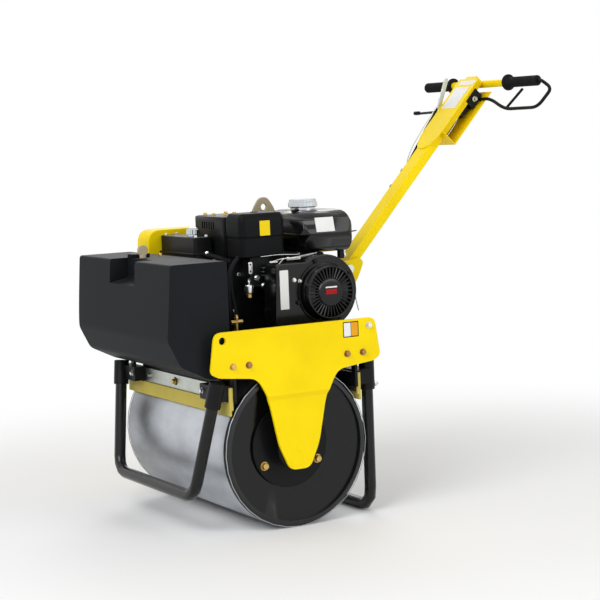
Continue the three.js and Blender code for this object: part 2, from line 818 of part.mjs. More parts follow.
function blowerHousing() {
  const { inset, corner } = BLOWER;
  const { y0, y1, x1, topZ } = CRANKCASE;
  const shape = rectangle(y0 + inset, y1 - inset, engineZ + inset, topZ - inset, corner);
  return plateX(shape, x1 + GAP, SHROUD.x0 - GAP);
}
add("blower_housing", blowerHousing(), ALUMINIUM);

function fanShroud() {
  const { x0, x1, radius, frontY, lowZ, topZ, draft, corner } = SHROUD;
  const hood = outline([
    [frontY, lowZ, corner],
    [CRANK.y, lowZ],
    [CRANK.y, topZ],
    [frontY + draft, topZ, corner],
  ]);
  return join(plateX(hood, x0, x1, 5), rodX(radius, x0, x1, CRANK.y, CRANK.z, 48));
}
add("fan_shroud", fanShroud(), BLACK);

const starterX0 = SHROUD.x1 + GAP;
const starterProfile = [
  [0, starterX0],
  [STARTER.radius, starterX0],
  [STARTER.radius, STARTER.x1 - STARTER.edge],
  [STARTER.radius - STARTER.soft, STARTER.x1 - STARTER.soft],
  [STARTER.radius - STARTER.edge, STARTER.x1],
  [0, STARTER.x1],
];
add("recoil_starter", turnedX(starterProfile, 48).translate(0, CRANK.y, CRANK.z), BLACK);

// The fuel tank is pressed in two halves, with a seam flange between them.
function fuelTank() {
  const { x0, x1, y0, y1, lowZ, seamZ, topZ, lip, seam } = FUEL_TANK;
  const { draw, rearDraw, corner, edge, seamRound } = FUEL_TANK;
  const pressing = (near, far, farDraw) =>
    outline([
      [near, seamZ, seamRound],
      [near + draw, topZ, edge],
      [far - farDraw, topZ, edge],
      [far, seamZ, seamRound],
      [far - draw, lowZ, edge / 2],
      [near + draw, lowZ, edge / 2],
    ]);
  const plan = rectangle(x0, x1, y0, y1, corner);
  const views = [pressing(y0, y1, rearDraw), pressing(x0, x1, draw), plan];
  const shell = threeViews(...views, [x0, x1], [y0, y1], [lowZ, topZ]);
  const rim = rectangle(x0 - lip, x1 + lip, y0 - lip, y1 + lip, corner + lip);
  return join(shell, plateZ(rim, seamZ - seam / 2, seamZ + seam / 2, 6));
}
add("fuel_tank", fuelTank(), BLACK);

function fuelCap() {
  const { x, y, radius, neck, topZ } = FUEL_CAP;
  const low = FUEL_TANK.topZ + GAP;
  const rim = radius - neck;
  const profile = [
    [0, low],
    [neck, low],
    [neck, low + rim],
    [radius, low + rim],
    [radius, topZ - rim / 2],
    [radius - rim / 2, topZ],
    [0, topZ],
  ];
  return turnedZ(profile, 40).translate(x, y, 0);
}
add("fuel_cap", fuelCap(), CHROME);

function airCleaner() {
  const { x0, x1, y0, y1, lowZ, topZ, corner } = AIR_CLEANER;
  return roundedBox(x0, x1, y0, y1, lowZ, topZ, corner);
}
add("air_cleaner", airCleaner(), BLACK);

// A sheet cowl closes the cylinder's side, from the deck up to the air cleaner.
const cowlX0 = CYLINDER.x + CYLINDER.width / 2 + GAP;
const cowlX1 = cowlX0 + COWL.thickness;
const cowlTopZ = AIR_CLEANER.lowZ - GAP;
const cowlShape = rectangle(headFrontY, CRANKCASE.y0 - GAP, engineZ, cowlTopZ, COWL.corner);
add("engine_cowl", plateX(cowlShape, cowlX0, cowlX1), BLACK);

function carburettor() {
  const { x1, y0, y1, lowZ, corner } = CARBURETTOR;
  return plateX(rectangle(y0, y1, lowZ, cowlTopZ, corner), cowlX1 + GAP, x1);
}
add("carburettor", carburettor(), ALUMINIUM);

// The muffler stands on the cylinder head.
function muffler() {
  const { x0, x1, y0, y1, topZ, corner } = MUFFLER;
  return roundedBox(x0, x1, y0, y1, headTopZ + GAP, topZ, corner);
}
add("muffler", muffler(), BLACK);

// A lifting plate with a rounded top stands on the crankcase.
function liftingEye() {
  const { x, thickness, y, half: reach, topZ, hole, round } = LIFT_EYE;
  const shape = outline([
    [y - reach, CRANKCASE.topZ + GAP],
    [y + reach, CRANKCASE.topZ + GAP],
    [y + reach, topZ - reach, round],
    [y + reach / 3, topZ, round],
    [y - reach / 3, topZ, round],
    [y - reach, topZ - reach, round],
  ]);
  const eye = rodX(hole, x - thickness, x + thickness, y, topZ - 3 * hole, 20);
  return cut(plateX(shape, x - thickness / 2, x + thickness / 2, 6), eye);
}
add("lifting_eye", liftingEye(), BEIGE);

// ---------------------------------------------------------------- belt drive and oil tank
function beltGuard() {
  const { x0, x1, frontY, frontLowY, topZ, topEndY, radius, bellyDrop, frontRound, rearRound } = GUARD;
  const front = outline([
    [frontLowY, engineZ],
    [CRANK.y, engineZ],
    [CRANK.y, CRANK.z + radius - bellyDrop],
    [topEndY, topZ, rearRound],
    [frontY, topZ, frontRound],
  ]);
  const wheel = rodX(radius, x0, x1, CRANK.y, CRANK.z, 40);
  return join(plateX(front, x0, x1, 6), wheel);
}
add("belt_guard", beltGuard(), YELLOW);
add("drive_shaft", rodX(DRIVE_SHAFT.radius, GUARD.x1 + GAP, CRANKCASE.x0 - GAP, CRANK.y, CRANK.z), STEEL);

function oilTank() {
  const { x0, x1, y0, y1, topZ, corner } = OIL_TANK;
  return plateZ(rectangle(x0, x1, y0, y1, corner), engineZ, topZ);
}
add("oil_tank", oilTank(), BLACK);
const oilTop = OIL_TANK.topZ + GAP;
const oilCapY = (OIL_TANK.y0 + OIL_TANK.y1) / 2;
const oilCap = rodZ(OIL_CAP.radius, oilTop, oilTop + OIL_CAP.height, OIL_CAP.x, oilCapY, 28);
add("oil_tank_cap", oilCap, CHROME);

// ---------------------------------------------------------------- handle bracket and pin
// In the handle's own frame, y runs up along the handle and z stands out of its upper face.
const handleFrame = new THREE.Matrix4()
  .makeTranslation(0, PIVOT.y, PIVOT.z)
  .multiply(new THREE.Matrix4().makeRotationX(THREE.MathUtils.degToRad(HANDLE.angle)));
const alongHandle = (along, out) => {
  const point = new THREE.Vector3(0, along, out).applyMatrix4(handleFrame);
  return [point.y, point.z];
};

const cheekInner = HANDLE.width / 2 + BRACKET.clearance;
const cheekOuter = cheekInner + BRACKET.cheek;
const stopZ = -HANDLE.depth / 2 - GAP;

function handleBracket() {
  const baseY = DECK.rearY + GAP;
  const { baseLowZ, baseDepth, baseTopZ, backY, backZ, noseAlong, noseIn, noseOut } = BRACKET;
  const { crownOut, browAlong, browOut, footRound, noseRound, crownRound, backRound } = BRACKET;
  const cheek = outline([
    [baseY, baseLowZ, footRound],
    [baseY + baseDepth, baseLowZ, noseRound],
    [backY, backZ, backRound],
    [...alongHandle(noseAlong, -noseIn), noseRound],
    [...alongHandle(noseAlong, noseOut), noseRound],
    [...alongHandle(0, crownOut), crownRound],
    [...alongHandle(browAlong, browOut), crownRound],
    [baseY, baseTopZ, crownRound],
  ]);
  const wide = cheekOuter + BRACKET.flange;
  const pieces = [-1, 1].map((sign) => {
    const [x0, x1] = sign > 0 ? [cheekInner, cheekOuter] : [-cheekOuter, -cheekInner];
    return plateX(cheek, x0, x1, 6);
  });
  const base = box(-wide, wide, baseY, baseY + BRACKET.cheek, baseLowZ, DECK.topZ);
  const stop = box(
    -cheekInner - LAP,
    cheekInner + LAP,
    BRACKET.stopFrom,
    BRACKET.stopTo,
    stopZ - BRACKET.stop,
    stopZ,
  ).applyMatrix4(handleFrame);
  const bore = rodX(PIVOT.bore, -cheekOuter - PAST, cheekOuter + PAST, PIVOT.y, PIVOT.z);
  return cut(join(base, ...pieces, stop), bore);
}
add("handle_bracket", handleBracket(), YELLOW);

const pinEnd = cheekOuter + GAP;
const pinHalf = [
  [PIVOT.pin, pinEnd],
  [PIVOT.head, pinEnd],
  [PIVOT.head, pinEnd + PIVOT.headWidth],
  [0, pinEnd + PIVOT.headWidth],
];
const pinProfile = [...pinHalf, ...pinHalf.map(([r, x]) => [r, -x]).reverse()];
add("handle_pin", turnedX(pinProfile, 24).translate(0, PIVOT.y, PIVOT.z), ZINC);

// ---------------------------------------------------------------- handle
const handle = new THREE.Group();
handle.position.set(0, PIVOT.y, PIVOT.z);
handle.rotation.x = THREE.MathUtils.degToRad(HANDLE.angle);
layout.add(handle);

function handleTube() {
  const { width, depth, wall, tail, length } = HANDLE;
  const outer = box(-width / 2, width / 2, -tail, length, -depth / 2, depth / 2);
  const inner = box(
    -width / 2 + wall,
    width / 2 - wall,
    -tail - PAST,
    length + PAST,
    -depth / 2 + wall,
    depth / 2 - wall,
  );
  const bore = rodX(PIVOT.bore, -width, width, 0, 0);
  const seat = rodX(BAR.radius + GAP, -width, width, BAR.along, BAR.below);
  return cut(outer, inner, bore, seat);
}
add("handle_tube", handleTube(), YELLOW, handle);
add("handlebar", rodX(BAR.radius, -BAR.half, BAR.half, BAR.along, BAR.below, 20), YELLOW, handle);

for (const [side, sign] of SIDES) {
  const grip = [
    [BAR.radius + GAP, GRIP.inner],
    [GRIP.flange, GRIP.inner],
    [GRIP.flange, GRIP.inner + GRIP.flangeWidth],
    [GRIP.radius, GRIP.inner + GRIP.flangeWidth],
    [GRIP.radius, BAR.half],
    [BAR.radius + GAP, BAR.half],
  ].map(([r, x]) => [r, sign * x]);
  add(`grip_${side}`, turnedX(grip, 24).translate(0, BAR.along, BAR.below), RUBBER, handle);
}

const coverZ = HANDLE.depth / 2 + GAP;
function consoleCover() {
  const { half: side, tip, end, sheet, point, endRound, shoulderRound, tipRound } = CONSOLE;
  const shape = outline([
    [-side, end, endRound],
    [-side, tip + point, shoulderRound],
    [-side / 2, tip, tipRound],
    [side / 2, tip, tipRound],
    [side, tip + point, shoulderRound],
    [side, end, endRound],
  ]);
  return plateZ(shape, coverZ, coverZ + sheet, 6);
}
add("console_cover", consoleCover(), YELLOW, handle);

// The console box hangs under the cover; its right side is open.
function consoleBox() {
  const { half: side, end, sheet, boxFrom, depth } = CONSOLE;
  const top = coverZ - GAP;
  const hole = box(
    -HANDLE.width / 2 - GAP,
    HANDLE.width / 2 + GAP,
    boxFrom - PAST,
    boxFrom + PAST,
    -HANDLE.depth / 2 - GAP,
    HANDLE.depth,
  );
  return join(
    box(-side, side, boxFrom, end, -depth, -depth + sheet),
    box(-side, -side + sheet, boxFrom, end, -depth, top),
    cut(box(-side, side, boxFrom, boxFrom + sheet, -depth, top), hole),
  );
}
add("console_box", consoleBox(), YELLOW, handle);
// The travel bail comes out of the open side of the box, runs under the right grip and ends at its tip.
function travelBail() {
  const { radius, bend, from, exit, elbow, low, outer, strut, strutFrom, strutTo } = BAIL;
  const floor = radius + CONSOLE.sheet + GAP - CONSOLE.depth;
  const tip = BAR.half + GAP;
  const loop = bentBar(
    [
      [0, from, floor],
      [CONSOLE.half + bend, exit, floor],
      elbow,
      low,
      outer,
      [tip + 3 * radius, BAR.along, BAR.below],
      [tip, BAR.along, BAR.below],
    ],
    radius,
    bend,
    { steps: 72, sides: 10 },
  );
  return join(loop, straightBar(strutFrom, strutTo, strut, 10));
}
add("travel_bail", travelBail(), BLACK, handle);

// ---------------------------------------------------------------- levers and cable on the handle's left
const leverX = -CONSOLE.half - GAP;
function throttleLever() {
  const { thickness, from, to, out0, out1, width, tail } = LEVER;
  const length = Math.hypot(to - from, out1 - out0);
  const bar = plateX(rectangle(-tail, length, -width / 2, width / 2, width / 3), -thickness, 0);
  return bar.rotateX(Math.atan2(out1 - out0, to - from)).translate(leverX, from, out0);
}
add("throttle_lever", throttleLever(), ZINC, handle);
const rodFrom = [leverX, ROD.along, ROD.out];
const rodTo = [-ROD.reach, ROD.along, ROD.out - ROD.drop];
add("travel_lever", straightBar(rodFrom, rodTo, ROD.radius, 12), BLACK, handle);

// The throttle cable leaves the lever and then runs down along the side of the tube.
const cableX = leverX - LEVER.thickness - GAP - CABLE.radius;
const tubeSideX = -HANDLE.width / 2 - GAP - CABLE.radius;
add(
  "throttle_cable",
  bentBar(
    [
      [cableX, CABLE.from, CABLE.out],
      [cableX, CABLE.edge, CABLE.edgeOut],
      [(cableX + tubeSideX) / 2, CABLE.tip, CABLE.sideOut],
      [tubeSideX, CABLE.join, CABLE.sideOut],
      [tubeSideX, CABLE.to, CABLE.sideOut],
    ],
    CABLE.radius,
    CABLE.bend,
    { steps: 40, sides: 8 },
  ),
  RUBBER,
  handle,
);

// ---------------------------------------------------------------- origin at the middle of the footprint
roller.updateMatrixWorld(true);
const bounds = new THREE.Box3().setFromObject(layout, true);
const middle = bounds.getCenter(new THREE.Vector3());
layout.position.set(-middle.x, -middle.y, -bounds.min.z);

export default roller;
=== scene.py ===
"""Looks of a walk-behind vibratory roller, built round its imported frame."""
import json
import math

import bmesh
import bpy
from bpy.props import FloatProperty, FloatVectorProperty, PointerProperty
from bpy.types import Operator, Panel, PropertyGroup
from mathutils import Matrix, Vector


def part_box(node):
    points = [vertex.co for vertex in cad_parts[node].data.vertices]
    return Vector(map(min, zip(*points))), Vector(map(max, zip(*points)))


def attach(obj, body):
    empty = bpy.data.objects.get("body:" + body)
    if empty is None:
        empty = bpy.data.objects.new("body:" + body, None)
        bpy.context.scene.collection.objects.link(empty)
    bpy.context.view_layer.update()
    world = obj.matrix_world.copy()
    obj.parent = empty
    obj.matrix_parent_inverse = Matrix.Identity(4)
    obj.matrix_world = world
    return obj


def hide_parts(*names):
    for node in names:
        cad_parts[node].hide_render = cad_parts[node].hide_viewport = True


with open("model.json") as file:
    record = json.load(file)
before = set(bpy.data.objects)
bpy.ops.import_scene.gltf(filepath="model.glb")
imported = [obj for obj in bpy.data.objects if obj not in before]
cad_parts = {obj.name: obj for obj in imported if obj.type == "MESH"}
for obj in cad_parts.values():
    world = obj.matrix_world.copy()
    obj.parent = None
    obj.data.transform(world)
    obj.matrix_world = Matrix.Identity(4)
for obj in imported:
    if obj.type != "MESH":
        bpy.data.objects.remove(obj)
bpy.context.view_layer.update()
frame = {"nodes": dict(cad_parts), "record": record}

bl_info = {
    "name": "Walk-behind roller",
    "version": (1, 0, 0),
    "blender": (4, 5, 0),
    "location": "3D View > Sidebar > Roller",
    "description": "Builds the visible pieces of a walk-behind vibratory roller",
    "category": "Object",
}

MM = 0.001
Z = Vector((0, 0, 1))
SIDES = (("left", -1), ("right", 1))
NODE_BODY = {n: body for body, names in frame["record"]["behaviour"]["bodies"].items() for n in names}
FRONT, BACK, LEFT, RIGHT = (0, -1, 0), (0, 1, 0), (-1, 0, 0), (1, 0, 0)
UP, DOWN = (0, 0, 1), (0, 0, -1)
MIDDLE = ((0.5, 0), (0.5, 0))
DUST_ON_PAINT, DUST_ON_PLASTIC = (0.36, 0.33, 0.28), (0.22, 0.21, 0.19)
EASE, CREASE, ROUND = 38, 15, 55


def colour(name, description, value):
    return FloatVectorProperty(
        name=name, description=description, subtype="COLOR", size=3, min=0, max=1, default=value
    )


def number(name, description, value, **kind):
    return FloatProperty(name=name, description=description, default=value, **kind)


def length(name, description, value):
    return number(name, description, value, subtype="DISTANCE", unit="LENGTH")


def angle(name, description, degrees):
    return number(name, description, math.radians(degrees), unit="ROTATION")


def power(name, description, watts):
    return number(name, description, watts, unit="POWER")


def amount(name, description, value):
    return number(name, description, value, subtype="FACTOR", min=0, max=1)


class ROLLER_PG_finish(PropertyGroup):
    """Colours and finishes of the machine."""

    yellow: colour("Yellow enamel", "Paint of the side plates, guard and handle", (0.97, 0.71, 0.002))
    black: colour("Black enamel", "Paint of the deck, stands and engine", (0.006, 0.0063, 0.007))
    charcoal: colour("Tank plastic", "Moulded plastic of the water tank", (0.0105, 0.0122, 0.0145))
    steel: colour("Drum steel", "Bare rolled steel of the drum", (0.44, 0.46, 0.49))
    zinc: colour("Zinc plate", "Plated sheet and fasteners", (0.55, 0.58, 0.53))
    # Painted shade: the scrapers' yellow paint, darkened to olive as it looks in their shade.
    olive: colour("Scraper enamel", "Dull paint of the scrapers", (0.56, 0.46, 0.09))
    aluminium: colour("Cast aluminium", "Bare castings of the engine", (0.36, 0.37, 0.38))
    brass: colour("Passivated brass", "Yellow plated bolts and jets", (0.62, 0.42, 0.14))
    rubber: colour("Rubber", "Grips, hoses and cable sheaths", (0.008, 0.008, 0.009))
    beige: colour("Beige enamel", "Lifting plate and tap", (0.42, 0.36, 0.24))
    grime: amount("Grime", "How much dust dulls the flat faces", 0.08)
    peel: amount("Orange peel", "Waviness of the enamel", 0.25)


class ROLLER_PG_edges(PropertyGroup):
    """Sizes of folded edges, fasteners and trim."""

    sheet: length("Sheet edge", "Rounding of a cut sheet's edge", 1.2 * MM)
    casting: length("Casting edge", "Rounding of a cast or moulded edge", 3.5 * MM)
    moulding: length("Moulding edge", "Rounding of the water tank's edges", 5 * MM)
    m8: length("Small bolt", "Width across flats of the small bolts", 13 * MM)
    m10: length("Large bolt", "Width across flats of the large bolts", 17 * MM)


class ROLLER_PG_stage(PropertyGroup):
    """Camera, floor and light."""

    distance_x: length("Camera X", "Camera place along X", 4.066)
    distance_y: length("Camera Y", "Camera place along Y", -2.4295)
    height: length("Camera height", "Camera place above the floor", 1.0354)
    azimuth: angle("Azimuth", "Direction it looks in", 59.76)
    pitch: angle("Pitch", "How far it looks down", 5.75)
    roll: angle("Roll", "Turn about its own line of sight", -2.17)
    lens: number("Lens", "Focal length in millimetres", 101.08)
    key: power("Key light", "Power of the large lamp", 105)
    fill: power("Fill light", "Power of the side lamps", 42)
    sky: number("Room light", "Strength of the pale room", 0.5)
    shadow_reach: length("Shadow reach", "Where the floor starts to turn plain white", 0.85)
    white_reach: length("White reach", "Where the floor has become plain white", 2.2)


# ---------------------------------------------------------------- shader sums
class Wire:
    """A socket that Python's operators do sums on."""

    def __init__(self, shade, socket):
        self.shade = shade
        self.socket = socket

    def sum(self, operation, *values):
        return self.shade.node("ShaderNodeMath", {"operation": operation}, values)

    def __add__(self, other):
        return self.sum("ADD", self, other)

    def __radd__(self, other):
        return self.sum("ADD", other, self)

    def __sub__(self, other):
        return self.sum("SUBTRACT", self, other)

    def __rsub__(self, other):
        return self.sum("SUBTRACT", other, self)

    def __mul__(self, other):
        return self.sum("MULTIPLY", self, other)

    def __rmul__(self, other):
        return self.sum("MULTIPLY", other, self)

    def __abs__(self):
        return self.sum("ABSOLUTE", self)

    def step(self, low, high):
        """0 below low, 1 above high, and smooth between them."""
        return self.shade.node(
            "ShaderNodeMapRange", {"interpolation_type": "SMOOTHSTEP"}, (self, low, high, 0.0, 1.0)
        )

    def either(self, other):
        return self.sum("MAXIMUM", self, other)


class Shade:
    """One material, made node by node."""

    def __init__(self, name):
        self.material = bpy.data.materials.new(name)
        self.material.use_nodes = True
        self.tree = self.material.node_tree
        self.shader = self.tree.nodes["Principled BSDF"]
        self.place = self.node("ShaderNodeTexCoord", output="Object")

    @classmethod
    def over(cls, tree):
        """The same sums in a tree that is already there."""
        shade = cls.__new__(cls)
        shade.tree = tree
        return shade

    def node(self, kind, settings=(), inputs=(), output=0):
        """Adds a node: its settings first, then what goes into its sockets."""
        node = self.tree.nodes.new(kind)
        for key, value in dict(settings).items():
            setattr(node, key, value)
        pairs = inputs.items() if isinstance(inputs, dict) else enumerate(inputs)
        for key, value in pairs:
            self.feed(node.inputs[key], value)
        return Wire(self, node.outputs[output])

    def feed(self, socket, value):
        """Links a wire to the socket, or sets its own value; a colour gets its alpha."""
        if isinstance(value, Wire):
            self.tree.links.new(value.socket, socket)
        elif isinstance(value, (int, float)):
            socket.default_value = value
        else:
            values = tuple(value)
            alpha = (1.0,) * (len(socket.default_value) - len(values))
            socket.default_value = values + alpha

    def stretched(self, scale):
        """The place in the frame, stretched by one factor on each axis."""
        return self.node("ShaderNodeVectorMath", {"operation": "MULTIPLY"}, (self.place, scale))

    def noise(self, scale, detail, rough, stretch=None):
        place = self.stretched(stretch) if stretch else self.place
        sockets = {"Vector": place, "Scale": scale, "Detail": detail, "Roughness": rough}
        return self.node("ShaderNodeTexNoise", {}, sockets)

    def cells(self, scale):
        return self.node("ShaderNodeTexVoronoi", {}, {"Vector": self.place, "Scale": scale})

    def blend(self, factor, first, second):
        """Colours go through Mix, so that they stay colours."""
        return self.node("ShaderNodeMix", {"data_type": "RGBA"}, {0: factor, 6: first, 7: second}, 2)

    def bump(self, height, strength, distance):
        sockets = {"Height": height, "Strength": strength, "Distance": distance}
        self.set("Normal", self.node("ShaderNodeBump", {}, sockets))

    def set(self, socket, value):
        self.feed(self.shader.inputs[socket], value)


def tint(rgb, factor):
    return tuple(min(1.0, channel * factor) for channel in rgb)


def dusty_mask(shade):
    """Upward faces hold more dust; it lies in broad uneven patches."""
    normal = shade.node("ShaderNodeNewGeometry", output="Normal")
    up = shade.node("ShaderNodeVectorMath", {"operation": "DOT_PRODUCT"}, (normal, (0, 0, 1)), "Value")
    patches = shade.noise(scale=7.0, detail=4.0, rough=0.6)
    return up.step(low=0.2, high=1.0) * patches.step(low=0.35, high=0.75)


def enamel(name, rgb, rough, peel=1.0, dust=1.0, coat=0.4, shine=0.15):
    """Sprayed enamel: slow changes of tone, orange peel, and a little dust."""
    finish = bpy.context.scene.roller_finish
    shade = Shade(name)
    cloud = shade.noise(scale=5.0, detail=3.0, rough=0.55)
    base = shade.blend(cloud.step(low=0.3, high=0.7), tint(rgb, 0.93), tint(rgb, 1.05))
    dusty = dusty_mask(shade) * (finish.grime * dust)
    shade.set("Base Color", shade.blend(dusty, base, DUST_ON_PAINT))
    shade.set("Roughness", rough + cloud * 0.08 + dusty * 0.5)
    shade.set("Specular IOR Level", shine)
    shade.set("Coat Weight", coat)
    shade.set("Coat Roughness", 0.12)
    fine = shade.noise(scale=260.0, detail=2.0, rough=0.5)
    shade.bump(fine, strength=0.25 * finish.peel * peel, distance=0.4 * MM)
    return shade.material


def moulded(name, rgb, rough, grain, depth):
    """Moulded plastic with a fine grain."""
    shade = Shade(name)
    cloud = shade.noise(scale=4.0, detail=4.0, rough=0.6)
    dusty = dusty_mask(shade) * bpy.context.scene.roller_finish.grime
    base = shade.blend(cloud.step(low=0.25, high=0.75), tint(rgb, 0.85), tint(rgb, 1.15))
    shade.set("Base Color", shade.blend(dusty, base, DUST_ON_PLASTIC))
    shade.set("Roughness", rough + cloud * 0.1)
    shade.set("Specular IOR Level", 0.06)
    shade.bump(shade.cells(grain), strength=depth, distance=0.3 * MM)
    return shade.material


def rubbery(name, rgb):
    """Dull rubber with a fine grain."""
    shade = Shade(name)
    cloud = shade.noise(scale=30.0, detail=3.0, rough=0.6)
    shade.set("Base Color", shade.blend(cloud, tint(rgb, 0.8), tint(rgb, 1.5)))
    shade.set("Roughness", 0.55 + cloud * 0.2)
    shade.set("Specular IOR Level", 0.1)
    shade.bump(shade.noise(scale=700.0, detail=2.0, rough=0.5), strength=0.15, distance=0.3 * MM)
    return shade.material


def plated(name, rgb, rough=0.3, spangle=60.0):
    """Plated or bare metal with a faint spangle."""
    shade = Shade(name)
    patch = shade.cells(spangle)
    cloud = shade.noise(scale=12.0, detail=4.0, rough=0.6)
    shade.set("Base Color", shade.blend(patch * 0.5 + cloud * 0.5, tint(rgb, 0.8), tint(rgb, 1.12)))
    shade.set("Metallic", 1.0)
    shade.set("Roughness", rough + cloud * 0.18)
    shade.bump(cloud, strength=0.08, distance=0.4 * MM)
    return shade.material


def casting(name, rgb):
    """A rough metal casting, dull and pitted."""
    shade = Shade(name)
    cloud = shade.noise(scale=16.0, detail=5.0, rough=0.6)
    shade.set("Base Color", shade.blend(cloud.step(low=0.3, high=0.7), tint(rgb, 0.55), tint(rgb, 1.1)))
    shade.set("Metallic", 0.85)
    shade.set("Roughness", 0.42 + cloud * 0.25)
    shade.bump(shade.noise(scale=380.0, detail=3.0, rough=0.6), strength=0.35, distance=0.5 * MM)
    return shade.material


def mirror_metal(name, rgb):
    """Bright chrome, a little hazy in patches."""
    shade = Shade(name)
    cloud = shade.noise(scale=25.0, detail=3.0, rough=0.6)
    shade.set("Base Color", shade.blend(cloud, tint(rgb, 0.9), rgb))
    shade.set("Metallic", 1.0)
    shade.set("Roughness", 0.08 + cloud * 0.1)
    return shade.material


def drum_steel(name, rgb, black):
    """Rolled steel with fine turning lines and smears, and broad light and dark bands round the drum painted
    into its colour as reflections; black paint covers both its ends.
    """
    shade = Shade(name)
    across = abs(shade.node("ShaderNodeSeparateXYZ", {}, (shade.place,)))
    paint_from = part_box("drum_shell")[1].x - 12 * MM
    rim = across.step(paint_from - 1.5 * MM, paint_from)
    lines = shade.noise(scale=1.0, detail=4.0, rough=0.65, stretch=(900.0, 5.0, 5.0))
    # Painted reflection: the smear and broad noises are stretched into light and dark bands round the drum
    # that stand for reflections of the room; the smear noise also varies the roughness.
    smear_and_reflection = shade.noise(scale=1.0, detail=5.0, rough=0.6, stretch=(9.0, 16.0, 16.0))
    scale = shade.noise(scale=1.0, detail=3.0, rough=0.5, stretch=(26.0, 26.0, 26.0))
    painted_reflection_bands = shade.noise(scale=1.0, detail=1.0, rough=0.4, stretch=(2.2, 4.5, 4.5))
    tone_and_reflection = painted_reflection_bands.step(low=0.36, high=0.62) * 0.55 + smear_and_reflection.step(low=0.3, high=0.72) * 0.25
    tone_and_reflection = tone_and_reflection + scale * 0.1 + lines * 0.1
    # The wide spread of the tint paints these reflections into the steel's colour.
    base = shade.blend(tone_and_reflection, tint(rgb, 0.42), tint(rgb, 1.5))
    shade.set("Base Color", shade.blend(rim, base, black))
    shade.set("Metallic", 1.0 - rim)
    shade.set("Roughness", (0.24 + smear_and_reflection * 0.22 + lines * 0.08) * (1.0 - rim) + rim * 0.3)
    shade.bump(lines, strength=0.1, distance=0.3 * MM)
    return shade.material


def card(name, rgb):
    """The plain film of a blank sticker."""
    shade = Shade(name)
    cloud = shade.noise(scale=20.0, detail=3.0, rough=0.6)
    shade.set("Base Color", shade.blend(cloud * 0.5, rgb, tint(rgb, 0.86)))
    shade.set("Roughness", 0.35 + cloud * 0.1)
    shade.set("Specular IOR Level", 0.12)
    return shade.material


MATERIALS = {}


def make_materials():
    finish = bpy.context.scene.roller_finish
    black = tuple(finish.black)
    MATERIALS.update(
        yellow=enamel("yellow_enamel", finish.yellow, rough=0.34, peel=0.4, dust=0.2, coat=0.05, shine=0.08),
        black=enamel("black_enamel", black, rough=0.36, coat=0.06, shine=0.12),
        gloss_black=enamel(
            "gloss_black_enamel", tint(black, 0.6), rough=0.16, peel=0.5, coat=0.25, shine=0.2
        ),
        # Painted shade: the scrapers get the yellow paint darkened as it is seen in shade.
        olive=enamel("shaded_scraper_enamel", finish.olive, rough=0.5, coat=0.0),
        beige=enamel("beige_enamel", finish.beige, rough=0.5, coat=0.0),
        charcoal=moulded("tank_plastic", finish.charcoal, rough=0.46, grain=300.0, depth=0.1),
        plastic=moulded("black_plastic", black, rough=0.36, grain=500.0, depth=0.12),
        rubber=rubbery("rubber", tuple(finish.rubber)),
        steel=drum_steel("rolled_steel", tuple(finish.steel), tint(black, 0.9)),
        shaft=plated("turned_steel", tuple(finish.steel), rough=0.25, spangle=20.0),
        zinc=plated("zinc_plate", tuple(finish.zinc), rough=0.3),
        brass=plated("passivated_brass", tuple(finish.brass), rough=0.28),
        bright=plated("bright_zinc", (0.75, 0.76, 0.74), rough=0.2),
        aluminium=casting("cast_aluminium", tuple(finish.aluminium)),
        iron=casting("dark_casting", (0.02, 0.021, 0.022)),
        chrome=mirror_metal("chrome", (0.6, 0.63, 0.66)),
        white=card("white_film", (0.85, 0.85, 0.83)),
        orange=card("orange_film", (0.85, 0.38, 0.02)),
        lemon=card("yellow_film", (0.92, 0.68, 0.006)),
        red=card("red_film", (0.42, 0.006, 0.01)),
        copper=plated("copper_wash", (0.36, 0.2, 0.09), rough=0.3),
    )


# ---------------------------------------------------------------- mesh making
def mm(*points):
    """Points that are given in millimetres, in metres."""
    return [tuple(value * MM for value in point) for point in points]


def basis(axis, at, turned=0.0):
    """A frame whose third axis lies along the given one."""
    tilt = Z.rotation_difference(Vector(axis).normalized()).to_matrix().to_4x4()
    return Matrix.Translation(Vector(at)) @ tilt @ Matrix.Rotation(turned, 4, "Z")


def arc(radius, start, end, steps, centre):
    """Points on a round stretch of an outline, angles in degrees."""
    angles = [math.radians(start + (end - start) * i / steps) for i in range(steps + 1)]
    return [(centre[0] + radius * math.cos(a), centre[1] + radius * math.sin(a)) for a in angles]


def rounded_rectangle(width, height, corner, steps=5):
    """Its points run from the first corner round all four."""
    w, h = width / 2 - corner, height / 2 - corner
    quarters = ((w, h, 0), (-w, h, 90), (-w, -h, 180), (w, -h, 270))
    return [p for x, y, a in quarters for p in arc(corner, a, a + 90, steps, (x, y))]


def through(points, steps=8):
    """A smooth path through a few points."""
    knots = [Vector(p) for p in points]
    ends = [2 * knots[0] - knots[1], *knots, 2 * knots[-1] - knots[-2]]
    path = []
    for a, b, c, d in zip(ends, ends[1:], ends[2:], ends[3:]):
        square, cube = 2 * a - 5 * b + 4 * c - d, 3 * b - a - 3 * c + d
        for i in range(steps):
            t = i / steps
            path.append(0.5 * (2 * b + (c - a) * t + square * t**2 + cube * t**3))
    return [*path, knots[-1]]


